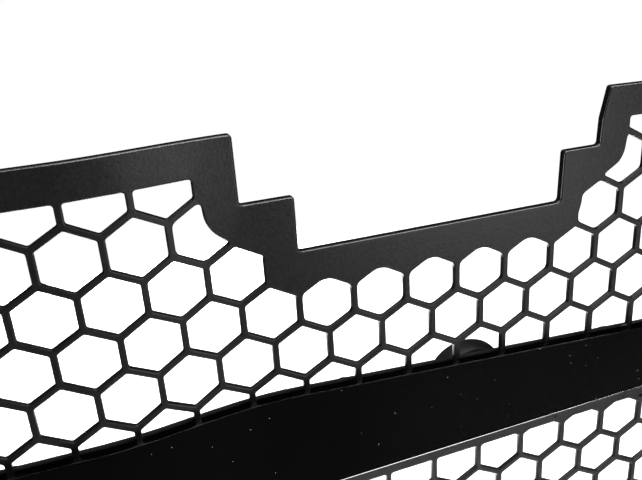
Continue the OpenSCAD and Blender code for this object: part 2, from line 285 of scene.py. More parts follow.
# The same plastic from a polished mould: near-black, with clean reflections and a little lint
GLOSS_ABS = Finish("moulded_gloss_abs", "bar_plastic", "#020202", "#030303", 0.13, 0.03, 3.0, 0.004,
                   ior=1.46, detail=Detail.DUST)
# Glass-filled nylon: dull, with fibre streaks just under the skin
GLASS_NYLON = Finish("moulded_glass_nylon", "nylon", "#0e0f0f", "#1c1d1e", 0.44, 0.08, 0.7, 0.03, 4.0)
# Unfilled nylon of the push-in retainers: dull black, slightly waxy
WAXY_NYLON = Finish("moulded_waxy_nylon", "retainer_plastic", "#121314", "#191a1b", 0.42, 0.05, 0.5, 0.01,
                    8.0)
# Steel screws with bright zinc plating: pale grey with a faint crystal pattern
ZINC_STEEL = Finish("zinc_plated_steel", "zinc_steel", "#a4a7a8", "#b6b9ba", 0.30, 0.08, 0.6, 0.006, 5.0,
                    metallic=1.0, detail=Detail.SPANGLE)
# Pressed sheet steel with black electrocoat: smooth, thin and faintly orange-peeled
COATED_STEEL = Finish("electrocoated_sheet_steel", "bracket_steel", "#15161a", "#1c1d20", 0.34, 0.05, 1.6,
                      0.015)
# Rolled spring steel with an oiled blue-grey temper colour
SPRING_STEEL = Finish("rolled_spring_steel", "spring_steel", "#4b4f55", "#5b5f64", 0.32, 0.07, 0.5, 0.008,
                      6.0, metallic=1.0, detail=Detail.DRAWN)
# Closed-cell foam with cut skin: dead matt, with pores about a millimetre across
CELL_FOAM = Finish("cut_closed_cell_foam", "foam", "#0f1011", "#17181a", 0.92, 0.04, 0.5, 0.12, 10.0,
                   detail=Detail.PORES)


# ---- Curves that the pieces share, in millimetres ----


@dataclass(frozen=True)
class Plan:
    """The grille's outline and plan shape, anchored to the CAD boxes."""

    half_w: float
    top_z: float
    bottom_z: float
    front: float
    mesh_y: float = -14.0
    top_fall: float = 8.0
    bottom_rise: float = 5.0
    end_taper: float = 26.0
    nose_in: float = 36.0
    nose_out: float = 112.0
    border: float = 15.5
    bar_end: float = 477.5
    bar_flat: float = 120.0
    bar_top_z: float = 28.9
    bar_low_z: float = -26.2
    bar_top_slope: float = 0.0505
    bar_low_slope: float = 0.0345
    lip: float = 9.4
    flange: float = 11.0
    seam_z: float = -2.0
    notch_x: float = 196.0
    notch_low_w: float = 129.0
    notch_up_w: float = 176.0
    notch_low_z: float = 97.0
    notch_step_z: float = 122.2

    @classmethod
    def from_frame(cls) -> "Plan":
        """Reads the outer sizes off the CAD nodes."""
        low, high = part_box("upper_grille")
        clip_low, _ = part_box("lower_grille")
        tongue = 18.0
        inner_tongue_x = 130.0
        half_w = high.x / MM
        bottom = clip_low.z / MM + tongue - cls.bottom_rise * (inner_tongue_x / half_w) ** 2
        return cls(half_w=half_w, top_z=high.z / MM, bottom_z=bottom, front=low.y / MM)

    def y(self, x: float) -> float:
        """Depth of the mesh's front face at x."""
        u = max(0.0, min(1.0, (self.nose_out - abs(x)) / (self.nose_out - self.nose_in)))
        return self.mesh_y + (self.front - self.mesh_y) * u * u * (3 - 2 * u)

    def top(self, x: float) -> float:
        """Height of the top edge at x."""
        return self.top_z - self.top_fall * (x / self.half_w) ** 2

    def bottom(self, x: float) -> float:
        """Height of the bottom edge at x."""
        return self.bottom_z + self.bottom_rise * (x / self.half_w) ** 2

    def end(self, z: float) -> float:
        """Half width at height z."""
        return self.half_w - self.end_taper * (self.top_z - z) / (self.top_z - self.bottom_z)

    def bar_top(self, x: float) -> float:
        """Height of the bar's upper edge at x."""
        return self.bar_top_z - self.bar_top_slope * max(0.0, abs(x) - self.bar_flat)

    def bar_low(self, x: float) -> float:
        """Height of the bar's lower edge at x."""
        return self.bar_low_z + self.bar_low_slope * max(0.0, abs(x) - self.bar_flat)

    def bent(self, x: float, depth: float, z: float) -> Place:
        """A place at a depth behind the mesh's front face."""
        return (x, self.y(x) + depth, z)

    def span(self) -> list[float]:
        """Evenly spaced places across the whole width, from the left end."""
        return [self.half_w * i / HALF_SPAN_STEPS for i in range(-HALF_SPAN_STEPS, HALF_SPAN_STEPS + 1)]

    def side_screws(self) -> list[Point]:
        """Across and up of one end's screws, from the lowest."""
        heights = (*(-z for z in reversed(SIDE_SCREW_Z)), *SIDE_SCREW_Z)
        return [(self.end(z) - SIDE_SCREW_IN, z) for z in heights]

    def notch_gap(self, x: float, z: float) -> float:
        """Distance from a point outside the latch notch to the notch."""
        gaps = []
        for width, floor in ((self.notch_low_w, self.notch_low_z), (self.notch_up_w, self.notch_step_z)):
            out = max(0.0, abs(x - self.notch_x) - width / 2)
            gaps.append(math.hypot(out, max(0.0, floor - z)))
        return min(gaps)


# ---- Flat outlines ----


def rounded(corners: Iterable[tuple[float, float, float]], steps: int = 3) -> Loop:
    """Rounds the corners of a polygon.

    Args:
        corners: Across, up and radius of each corner.
        steps: Straight pieces in each arc.

    Returns:
        The rounded outline.
    """
    corners = list(corners)
    out: Loop = []
    for i, (x, z, radius) in enumerate(corners):
        here = Vector((x, z))
        before = Vector(corners[i - 1][:2]) - here
        after = Vector(corners[(i + 1) % len(corners)][:2]) - here
        half = before.angle(after) / 2
        if radius <= 0 or half > math.radians(88):
            out.append((x, z))
            continue
        cut = min(radius / math.tan(half), 0.45 * before.length, 0.45 * after.length)
        before.normalize()
        after.normalize()
        centre = here + (before + after).normalized() * (cut / math.cos(half))
        start, stop = here + before * cut - centre, here + after * cut - centre
        turn = math.copysign(start.angle(stop), start.x * stop.y - start.y * stop.x)
        for k in range(steps + 1):
            spoke = centre + Matrix.Rotation(turn * k / steps, 2) @ start
            out.append((spoke.x, spoke.y))
    return out


def resampled(loop: Loop, step: float) -> Loop:
    """Adds points so that no side is longer than step."""
    out: Loop = []
    for i, (x, z) in enumerate(loop):
        nx, nz = loop[(i + 1) % len(loop)]
        count = max(1, math.ceil(math.hypot(nx - x, nz - z) / step))
        out += [(x + (nx - x) * k / count, z + (nz - z) * k / count) for k in range(count)]
    return out


def shifted(loop: Loop, distance: float) -> Loop:
    """Moves a counter-clockwise outline outwards by distance, or inwards if it is negative."""
    out: Loop = []
    for i, point in enumerate(loop):
        here = Vector(point)
        before = (here - Vector(loop[i - 1])).normalized()
        after = (Vector(loop[(i + 1) % len(loop)]) - here).normalized()
        normal = Vector((before.y + after.y, -before.x - after.x))
        moved = here + normal * (2 * distance / max(0.6, normal.length_squared))
        out.append((moved.x, moved.y))
    return out


def area(loop: Loop) -> float:
    """Signed area of an outline, positive if it is counter-clockwise."""
    return sum(loop[i - 1][0] * z - x * loop[i - 1][1] for i, (x, z) in enumerate(loop)) / 2


def circle(x: float, z: float, radius: float, count: int = 28) -> Loop:
    """A round outline."""
    turns = [2 * math.pi * k / count for k in range(count)]
    return [(x + radius * math.cos(a), z + radius * math.sin(a)) for a in turns]


def inside(point: Point, loop: Loop) -> bool:
    """Is the point inside the outline?"""
    x, z = point
    hit = False
    for i, (x1, z1) in enumerate(loop):
        x0, z0 = loop[i - 1]
        if (z0 > z) != (z1 > z) and x < (x1 - x0) * (z - z0) / (z1 - z0) + x0:
            hit = not hit
    return hit


def clipped(loop: Loop, on: Point, normal: Point) -> Loop:
    """Cuts a convex outline along a line and keeps the side that the normal points away from."""
    def over(p: Point) -> float:
        """How far p is past the line."""
        return (p[0] - on[0]) * normal[0] + (p[1] - on[1]) * normal[1]

    out: Loop = []
    for i, now in enumerate(loop):
        last = loop[i - 1]
        a, b = over(last), over(now)
        if (a > 0) != (b > 0):
            t = a / (a - b)
            out.append((last[0] + (now[0] - last[0]) * t, last[1] + (now[1] - last[1]) * t))
        if b <= 0:
            out.append(now)
    return out


def softened(loop: Loop, step: float, passes: int) -> Loop:
    """Evens out an outline's points and takes the edge off its corners."""
    loop = resampled(loop, step)
    for _ in range(passes):
        around = [(loop[i - 1], p, loop[(i + 1) % len(loop)]) for i, p in enumerate(loop)]
        loop = [tuple((a[k] + 2 * b[k] + c[k]) / 4 for k in (0, 1)) for a, b, c in around]
    return loop


# ---- Meshes ----


class Shell:
    """Collects closed shells in millimetres and turns them into one finished piece."""

    def __init__(self) -> None:
        """Starts empty."""
        self.places: list[Place] = []
        self.faces: list[tuple[int, ...]] = []

    def ring(self, places: Iterable[Place]) -> list[int]:
        """Adds places and returns their numbers."""
        start = len(self.places)
        self.places += [tuple(p) for p in places]
        return list(range(start, len(self.places)))

    def join(self, a: list[int], b: list[int]) -> None:
        """Joins two closed rings with the same count by a band of faces."""
        for i in range(len(a)):
            self.faces.append((a[i - 1], a[i], b[i], b[i - 1]))

    def loft(self, rings: Sequence[Sequence[Place]]) -> None:
        """Joins rings in a row and closes both ends with a flat face."""
        made = [self.ring(r) for r in rings]
        for a, b in zip(made, made[1:]):
            self.join(a, b)
        self.faces += [tuple(made[0]), tuple(reversed(made[-1]))]

    def cap(self, flat: Sequence[Point], numbers: Sequence[int], outer: Loop, holes: Sequence[Loop]) -> list:
        """Fills the area between an outline and its holes.

        Where an outline crosses itself, a point is added that has no number, and the faces that use it
        are left out, so such a place stays open.

        Args:
            flat: Every boundary point and inner point, outer loop first, then holes, then inner ones.
            numbers: The point's number in this shell, in the same order.
            outer: The outer outline as it stands in flat.
            holes: The holes' outlines as they stand in flat.

        Returns:
            The triangles, as indices into flat.
        """
        edges, owner, start = [], [], 0
        for k, loop in enumerate([outer, *holes]):
            edges += [(start + i, start + (i + 1) % len(loop)) for i in range(len(loop))]
            owner += [k] * len(loop)
            start += len(loop)
        owner += [-1] * (len(flat) - start)
        made = delaunay_2d_cdt([Vector(p) for p in flat], edges, [], 0, 1e-5, True)
        back = [ids[0] if ids else None for ids in made[3]]
        triangles = []
        for face in made[2]:
            ids = [back[i] for i in face]
            if None in ids or len(set(ids)) < 3:
                continue
            owners = {owner[i] for i in ids}
            if len(owners) == 1 and -1 not in owners:
                middle = tuple(sum(flat[i][k] for i in ids) / 3 for k in (0, 1))
                k = owners.pop()
                if inside(middle, outer if k == 0 else holes[k - 1]) != (k == 0):
                    continue
            triangles.append(ids)
        self.faces += [tuple(numbers[i] for i in t) for t in triangles]
        return triangles

    def plate(
        self,
        outer: Loop,
        holes: Sequence[Loop],
        rim: Steps,
        bore: Steps,
        bend: Bend,
        inner: Sequence[Point] = (),
        open_holes: int = 0,
    ) -> None:
        """Makes a plate with holes and shaped edges.

        Args:
            outer: Counter-clockwise outline.
            holes: Counter-clockwise outlines of the holes.
            rim: For the outline, how far into the material and how deep each ring of its wall is.
            bore: The same for the holes.
            bend: Turns across, depth and up into a place.
            inner: Points for the two faces to follow besides their edges.
            open_holes: How many of the last holes get no wall here.
        """
        walls = []
        for k, loop in enumerate([outer, *holes]):
            steps, side = (rim, -1) if k == 0 else (bore, 1)
            has_wall = k <= len(holes) - open_holes
            used = steps if has_wall else (steps[0], steps[-1])
            flats = [shifted(loop, side * into) for into, _ in used]
            rings = [
                self.ring(bend(x, depth, z) for x, z in flat) for flat, (_, depth) in zip(flats, used)
            ]
            if has_wall:
                for a, b in zip(rings, rings[1:]):
                    self.join(a, b)
            walls.append((flats, rings))
        for end in (0, -1):
            depth = rim[end][1]
            flat = [p for flats, _ in walls for p in flats[end]] + list(inner)
            numbers = [n for _, rings in walls for n in rings[end]]
            numbers += self.ring(bend(x, depth, z) for x, z in inner)
            if end == 0:
                outlines = [flats[0] for flats, _ in walls]
                triangles = self.cap(flat, numbers, outlines[0], outlines[1:])
            else:
                self.faces += [tuple(numbers[i] for i in t) for t in triangles]

    def turned(
        self, profile: Sequence[Point], place: Callable[[float, float, float], Place], count: int = 40,
        closed: bool = False,
    ) -> None:
        """Turns a profile round an axis.

        Args:
            profile: Radius and height of each point; an open profile starts and ends on the axis.
            place: Turns across, along the axis and up into a place.
            count: Points round the axis.
            closed: True for a ring, whose profile is a loop.
        """
        turns = [2 * math.pi * k / count for k in range(count)]
        rings = []
        for radius, height in profile:
            if radius < 1e-6:
                rings.append(self.ring([place(0.0, height, 0.0)]))
            else:
                around = [(radius * math.cos(a), radius * math.sin(a)) for a in turns]
                rings.append(self.ring(place(x, height, z) for x, z in around))
        pairs = list(zip(rings, rings[1:])) + ([(rings[-1], rings[0])] if closed else [])
        for a, b in pairs:
            if len(a) == 1 or len(b) == 1:
                tip, wide = (a[0], b) if len(a) == 1 else (b[0], a)
                self.faces += [(tip, wide[i - 1], wide[i]) for i in range(len(wide))]
            else:
                self.join(a, b)

    def box(self, low: Place, high: Place, edge: float = 0.5) -> None:
        """Adds a box with its edges taken off."""
        (x0, y0, z0), (x1, y1, z1) = low, high
        outline = rounded([(x0, z0, edge), (x1, z0, edge), (x1, z1, edge), (x0, z1, edge)], 2)
        steps = [(edge, y0), (edge * 0.3, y0 + edge * 0.3), (0, y0 + edge)]
        steps += [(0, y1 - edge), (edge * 0.3, y1 - edge * 0.3), (edge, y1)]
        self.plate(outline, [], steps, [], lambda x, y, z: (x, y, z))

    def mesh(self, name: str, weld: float = 0.0) -> bpy.types.Mesh:
        """Makes the mesh, in metres, with its faces outwards.

        Args:
            name: Name of the mesh.
            weld: Points closer than this many millimetres become one.

        Returns:
            The mesh.
        """
        data = bpy.data.meshes.new(name)
        data.from_pydata([(x * MM, y * MM, z * MM) for x, y, z in self.places], [], self.faces)
        return outwards(data, weld)


def outwards(data: bpy.types.Mesh, weld: float = 0.0) -> bpy.types.Mesh:
    """Turns a mesh's faces outwards.

    Args:
        data: The mesh, in metres.
        weld: Points closer than this many millimetres become one first.

    Returns:
        The same mesh.
    """
    tidy = bmesh.new()
    tidy.from_mesh(data)
    if weld:
        bmesh.ops.remove_doubles(tidy, verts=tidy.verts, dist=weld * MM)
    bmesh.ops.recalc_face_normals(tidy, faces=tidy.faces)
    tidy.to_mesh(data)
    tidy.free()
    return data


def new_object(name: str, data: bpy.types.Mesh) -> bpy.types.Object:
    """Puts a mesh into the scene."""
    made = bpy.data.objects.new(name, data)
    bpy.context.scene.collection.objects.link(made)
    return made


def finished(
    data: bpy.types.Mesh,
    name: str,
    finish: Finish,
    replaced: str,
    body: str = BODY,
    crease: float = 38.0,
    foam_fill: float | None = None,
) -> bpy.types.Object:
    """Dresses a mesh and hands it to the frame.

    Args:
        data: Mesh in metres, in the row frame.
        name: Name of the piece.
        finish: Its finish.
        replaced: CAD node that it stands for.
        body: CAD body that it rides on.
        crease: Edges that turn by more degrees than this stay crisp.
        foam_fill: How full it is, for a foam piece. Not used.

    Returns:
        The piece.
    """
    data.materials.clear()
    data.materials.append(finish.material())
    data.polygons.foreach_set("use_smooth", [True] * len(data.polygons))
    data.set_sharp_from_angle(angle=math.radians(crease))
    piece = new_object(name, data)
    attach(piece, body)
    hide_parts(replaced)
    LOG.info("%s: %d faces for %s on %s", name, len(data.polygons), replaced, body)
    return piece


# ---- Repeated pieces by Geometry Nodes ----


class Repeat:
    """A Geometry Nodes tree that puts one part at many places, beside a base mesh."""

    def __init__(self) -> None:
        """Builds the tree with its named inputs."""
        self.tree = bpy.data.node_groups.new("repeat_part", "GeometryNodeTree")
        face = self.tree.interface
        kinds = {
            "Base": "Geometry", "Part": "Object", "Places": "Object",
            "Part Scale": "Float", "Weld Distance": "Float", "Material": "Material",
        }
        self.keys = {
            name: face.new_socket(name=name, in_out="INPUT", socket_type="NodeSocket" + kind).identifier
            for name, kind in kinds.items()
        }
        face.new_socket(name="Geometry", in_out="OUTPUT", socket_type="NodeSocketGeometry")
        tree = self.tree
        given = add(tree, "NodeGroupInput").outputs
        part = add(tree, "GeometryNodeObjectInfo", links={"Object": given["Part"]}).outputs["Geometry"]
        spots = add(tree, "GeometryNodeObjectInfo", links={"Object": given["Places"]}).outputs["Geometry"]
        many = add(tree, "GeometryNodeInstanceOnPoints",
                   links={"Points": spots, "Instance": part, "Scale": given["Part Scale"]}).outputs[0]
        real = add(tree, "GeometryNodeRealizeInstances", links={"Geometry": many}).outputs[0]
        both = add(tree, "GeometryNodeJoinGeometry", links={"Geometry": real})
        tree.links.new(given["Base"], both.inputs[0])
        welded = add(tree, "GeometryNodeMergeByDistance",
                     links={"Geometry": both.outputs[0], "Distance": given["Weld Distance"]}).outputs[0]
        dressed = add(tree, "GeometryNodeSetMaterial",
                      links={"Geometry": welded, "Material": given["Material"]}).outputs[0]
        add(tree, "NodeGroupOutput", links={0: dressed})

    def run(
        self, base: Shell, part: Shell, places: Sequence[Place], finish: Finish, weld: float = 0.001
    ) -> bpy.types.Mesh:
        """Runs the tree and returns its result as a plain mesh.

        Args:
            base: Mesh beside the copies; it may be empty.
            part: What is repeated.
            places: Where, in millimetres.
            finish: Material of the whole.
            weld: Points closer than this many millimetres become one.

        Returns:
            The mesh, in metres, with its faces outwards.
        """
        spots = bpy.data.meshes.new("spots")
        spots.from_pydata([tuple(v * MM for v in p) for p in places], [], [])
        helpers = [
            new_object("base", base.mesh("base")),
            new_object("part", part.mesh("part", weld)),
            new_object("spots", spots),
        ]
        values = {
            "Part": helpers[1], "Places": helpers[2], "Part Scale": 1.0,
            "Weld Distance": weld * MM, "Material": finish.material(),
        }
        modifier = helpers[0].modifiers.new("repeat", "NODES")
        modifier.node_group = self.tree
        for name, value in values.items():
            modifier[self.keys[name]] = value
        bpy.context.view_layer.update()
        graph = bpy.context.evaluated_depsgraph_get()
        data = bpy.data.meshes.new_from_object(helpers[0].evaluated_get(graph))
        helpers[0].modifiers.clear()
        for helper in helpers:
            bpy.data.objects.remove(helper)
        return outwards(data)


def bend_mesh(data: bpy.types.Mesh, plan: Plan) -> None:
    """Moves each point of a flat moulding back or forward to the plan shape."""
    for vertex in data.vertices:
        vertex.co.y += plan.y(vertex.co.x / MM) * MM


def merged(data: bpy.types.Mesh, extra: Shell, name: str) -> bpy.types.Mesh:
    """Adds a shell's closed parts to a mesh."""
    both = bmesh.new()
    both.from_mesh(data)
    both.from_mesh(extra.mesh(name + "_extra"))
    both.to_mesh(data)
    both.free()
    return data


# ---- Mouldings ----


def arc(x: float, z: float, radius: float, start: float, stop: float, steps: int = 8) -> Loop:
    """Points on an arc, with its angles in degrees."""
    turns = [math.radians(start + (stop - start) * k / steps) for k in range(steps + 1)]
    return [(x + radius * math.cos(a), z + radius * math.sin(a)) for a in turns]


@dataclass
class Moulding:
    """What the upper and the lower honeycomb moulding share. Sizes are in millimetres."""

    plan: Plan
    repeat: Repeat
    pitch: float = 26.0
    cell_h: float = 29.12
    strut: float = 3.0
    thick: float = 2.6
    frame_t: float = 4.0
    back_from: float = 2.3
    first_row: float = 113.5
    edge: float = 0.6
    rim_edge: float = 0.9
    corner: float = 1.3
    step: float = 5.0
    smallest: float = 6.0
    boss_r: float = 5.0
    plate_y: float = -2.0
    centre_margin: float = 6.0

    def row_z(self, row: int) -> float:
        """Height of a row's cell centres."""
        return self.first_row - 0.75 * self.cell_h * row

    def row_cells(self, row: int) -> list[float]:
        """Where a row's cells are across the grille."""
        shift = self.pitch / 2 if row % 2 == 0 else 0.0
        count = math.ceil(self.plan.half_w / self.pitch)
        reach = self.plan.end(self.row_z(row)) - self.plan.border - self.centre_margin
        every = [i * self.pitch + shift for i in range(-count, count + 1)]
        return [x for x in every if abs(x) < reach]

    def hexagon(self, x: float, z: float) -> Loop:
        """A cell's opening, with sharp corners, counter-clockwise from its top."""
        share = (self.pitch - self.strut) / self.pitch
        w, h = self.pitch / 2 * share, self.cell_h / 2 * share
        ups = [(0, h), (-w, h / 2), (-w, -h / 2), (0, -h), (w, -h / 2), (w, h / 2)]
        return [(x + a, z + b) for a, b in ups]

    def with_corners(self, loop: Loop) -> Loop:
        """Rounds an opening's corners."""
        return rounded([(x, z, self.corner) for x, z in loop])

    def bore(self) -> Steps:
        """How an opening's wall goes from the rounded front edge to the small back chamfer."""
        e, t = self.edge, self.thick
        return [(e + 0.2, 0), (e, 0), (e * 0.29, e * 0.29), (0, e), (0, t - 0.25), (0.25, t)]

    def rim(self) -> Steps:
        """How the outer edge is rounded at the front."""
        e = self.rim_edge
        return [(e + 0.3, 0), (e, 0), (e * 0.5, e * 0.13), (e * 0.13, e * 0.5), (0, e), (0, self.thick)]

    def wall(self) -> Shell:
        """The wall of one whole opening, without the faces round it."""
        shell = Shell()
        loop = self.with_corners(self.hexagon(0, 0))
        rings = [shell.ring((x, depth, z) for x, z in shifted(loop, into)) for into, depth in self.bore()]
        for a, b in zip(rings, rings[1:]):
            shell.join(a, b)
        return shell

    def sorted_cells(
        self, rows: Iterable[int], limits: Callable[[float], list[tuple[Point, Point]]]
    ) -> tuple[list[Point], list[Loop]]:
        """Splits the cells into whole ones and ones that a border cuts.

        Args:
            rows: Row numbers.
            limits: For a cell's place across, the lines that may cut it: a point and the far side's normal.

        Returns:
            Centres of the whole cells, and outlines of the cut ones.
        """
        whole, cut = [], []
        b = self.plan.border
        for row in rows:
            z = self.row_z(row)
            for x in self.row_cells(row):
                loop = self.hexagon(x, z)
                short = loop
                for on, normal in limits(x):
                    short = clipped(short, on, normal) if short else short
                if len(short) < 3 or area(short) < self.smallest:
                    continue
                gaps = [self.plan.notch_gap(*p) for p in short]
                middle = (sum(p[0] for p in short) / len(short), sum(p[1] for p in short) / len(short))
                if min(gaps) >= b:
                    if len(short) == 6 and abs(area(short) - area(loop)) < 1e-6:
                        whole.append((x, z))
                    else:
                        cut.append(self.with_corners(short))
                elif self.plan.notch_gap(x, z) > b + 0.5 and self.plan.notch_gap(*middle) > b:
                    cut.append(softened(self.pulled_in(short, middle), self.corner, 4))
        return whole, cut

    def pulled_in(self, loop: Loop, middle: Point) -> Loop:
        """Pulls the part of an opening that reaches into the notch's border back to its edge."""
        out = []
        for x, z in resampled(loop, 1.0):
            share = 1.0
            if self.plan.notch_gap(x, z) < self.plan.border:
                low = 0.0
                for _ in range(18):
                    half = (low + share) / 2
                    place = (middle[0] + (x - middle[0]) * half, middle[1] + (z - middle[1]) * half)
                    if self.plan.notch_gap(*place) > self.plan.border:
                        low = half
                    else:
                        share = half
            out.append((middle[0] + (x - middle[0]) * share, middle[1] + (z - middle[1]) * share))
        return out

    def front(self, outline: Loop, whole: list[Point], cut: list[Loop]) -> bpy.types.Mesh:
        """Makes the pierced front part: faces and cut cells in one shell, whole cells repeated.

        Args:
            outline: The moulding's outline.
            whole: Centres of the whole cells.
            cut: Outlines of the cut cells.

        Returns:
            The mesh, bent to the plan shape.
        """
        cell = self.with_corners(self.hexagon(0, 0))
        moved = [[(x + a, z + b) for a, b in cell] for x, z in whole]
        base = Shell()
        base.plate(outline, cut + moved, self.rim(), self.bore(), lambda x, y, z: (x, y, z),
                   open_holes=len(moved))
        places = [(x, 0.0, z) for x, z in whole]
        data = self.repeat.run(base, self.wall(), places, SATIN_ABS)
        bend_mesh(data, self.plan)
        return data

    def back_frame(self, shell: Shell, outline: Loop, window: Loop) -> None:
        """Adds the deeper border behind the mesh's edge."""
        t = self.frame_t
        rim = [(0.3, self.back_from), (0.05, self.back_from + 0.1), (0.05, t - 0.5), (0.5, t)]
        bore = [(0.3, self.back_from), (0, self.back_from + 0.1), (0, t - 0.4), (0.4, t)]
        shell.plate(outline, [window], rim, bore, self.plan.bent)

    def side_bosses(self, shell: Shell, heights: Sequence[float]) -> None:
        """Adds the round posts that the side brackets are screwed to."""
        for z in heights:
            for side in (-1, 1):
                x = side * (self.plan.end(z) - SIDE_SCREW_IN)
                y0, y1 = self.plan.y(x) + self.frame_t - 0.5, self.plate_y
                r = self.boss_r
                profile = [(0, y0), (r, y0), (r, y1 - 0.5), (r - 0.5, y1), (0, y1)]
                shell.turned(profile, lambda a, h, b, x=x, z=z: (x + a, h, z + b), 24)


@dataclass
class UpperMoulding(Moulding):
    """The upper honeycomb with its top rail and the latch notch."""

    cover: float = 3.0
    pad_w: float = 44.0
    pad_t: float = 5.0
    pad_h: float = 11.0
    fix_x: tuple[float, ...] = (-430.0, -150.0, 0.0, 390.0)
    flare: float = 4.0
    low_shift: float = 3.0
    low_flare: float = 0.8

    def outline(self) -> Loop:
        """The outline with the stepped notch."""
        p = self.plan
        nx, low, up = p.notch_x, p.notch_low_w / 2, p.notch_up_w / 2
        corners = [(-p.end(p.seam_z), p.seam_z, 1.0), (-p.bar_end, p.seam_z, 0.0)]
        along = (-p.bar_end, -p.bar_flat, p.bar_flat, p.bar_end)
        corners += [(x, p.bar_top(x) - p.flange, 0.0) for x in along]
        corners += [(p.bar_end, p.seam_z, 0.0), (p.end(p.seam_z), p.seam_z, 1.0)]
        corners.append((p.half_w, p.top(p.half_w), 3.0))
        right, left = nx + up + self.flare, nx - up
        grid = [p.half_w * i / HALF_SPAN_STEPS for i in range(HALF_SPAN_STEPS - 1, -HALF_SPAN_STEPS, -1)]
        corners += [(x, p.top(x), 0.0) for x in grid if x > right + 6]
        corners += [(right, p.top(right), 1.5), (nx + up + 0.6, 135.0, 11.0), (nx + up, p.notch_step_z, 1.5)]
        foot = nx + low + self.low_shift
        corners += [(foot + self.low_flare, p.notch_step_z, 1.5), (foot, p.notch_low_z, 2.0)]
        corners += [(nx - low, p.notch_low_z, 2.0), (nx - low, p.notch_step_z, 1.5)]
        corners += [(left, p.notch_step_z, 1.5), (left, p.top(left), 1.8)]
        corners += [(x, p.top(x), 0.0) for x in grid if x < left - 6]
        corners.append((-p.half_w, p.top(p.half_w), 3.0))
        return resampled(rounded(corners, 4), self.step)

    def window(self, grow: float) -> Loop:
        """The edge of the deeper border, grown outwards by that much."""
        p = self.plan
        b = p.border - grow
        nx, low, up = p.notch_x, p.notch_low_w / 2, p.notch_up_w / 2
        end = p.end(0) - b
        loop = [(x, p.bar_top(x) - self.cover - grow) for x in (-end, -p.bar_flat, p.bar_flat, end)]
        steps = range(HALF_SPAN_STEPS, -HALF_SPAN_STEPS - 1, -1)
        top = [(x, p.top(x) - b) for x in ((p.half_w - b) * i / HALF_SPAN_STEPS for i in steps)]
        loop += [q for q in top if q[0] > nx + up + b + 2]
        loop.append((nx + up + b, p.top(nx + up + b) - b))
        loop += arc(nx + up, p.notch_step_z, b, 0, -90) + [(nx + low + b, p.notch_step_z - b)]
        loop += arc(nx + low, p.notch_low_z, b, 0, -90) + arc(nx - low, p.notch_low_z, b, -90, -180)
        loop += [(nx - low - b, p.notch_step_z - b)] + arc(nx - up, p.notch_step_z, b, -90, -180)
        loop.append((nx - up - b, p.top(nx - up - b) - b))
        loop += [q for q in top if q[0] < nx - up - b - 2]
        return resampled(loop, self.step)

    def limits(self, x: float) -> list[tuple[Point, Point]]:
        """The lines that may cut a cell: top border, ends and the bar."""
        p = self.plan
        b, side = p.border, math.copysign(1, x)
        fall = -2 * p.top_fall * x / p.half_w**2
        slope = -side * p.bar_top_slope if abs(x) > p.bar_flat else 0.0
        out_low, out_high = (p.end(0) - b, 0.0), (p.half_w - b, p.top(p.half_w) - b)
        run, rise = out_high[0] - out_low[0], out_high[1] - out_low[1]
        return [
            ((x, p.top(x) - b), (-fall, 1.0)),
            ((side * out_low[0], 0.0), (side * rise, -run)),
            ((x, p.bar_top(x) - self.cover), (slope, -1.0)),
        ]

    def build(self) -> bpy.types.Object:
        """Builds and dresses the moulding.

        Returns:
            The piece.
        """
        outline = self.outline()
        whole, cut = self.sorted_cells(range(-1, 6), self.limits)
        data = self.front(outline, whole, cut)
        rest = Shell()
        self.back_frame(rest, outline, self.window(0.3))
        self.side_bosses(rest, SIDE_SCREW_Z)
        for x in self.fix_x:
            y, z = self.plan.y(x) + self.frame_t, self.plan.top(x) - self.pad_h - PAD_DROP
            half = self.pad_w / 2
            rest.box((x - half, y - 0.5, z), (x + half, y + self.pad_t, z + self.pad_h), 0.6)
        LOG.info("upper honeycomb: %d whole and %d cut cells", len(whole), len(cut))
        return finished(merged(data, rest, "upper"), "upper_honeycomb", SATIN_ABS, "upper_grille")


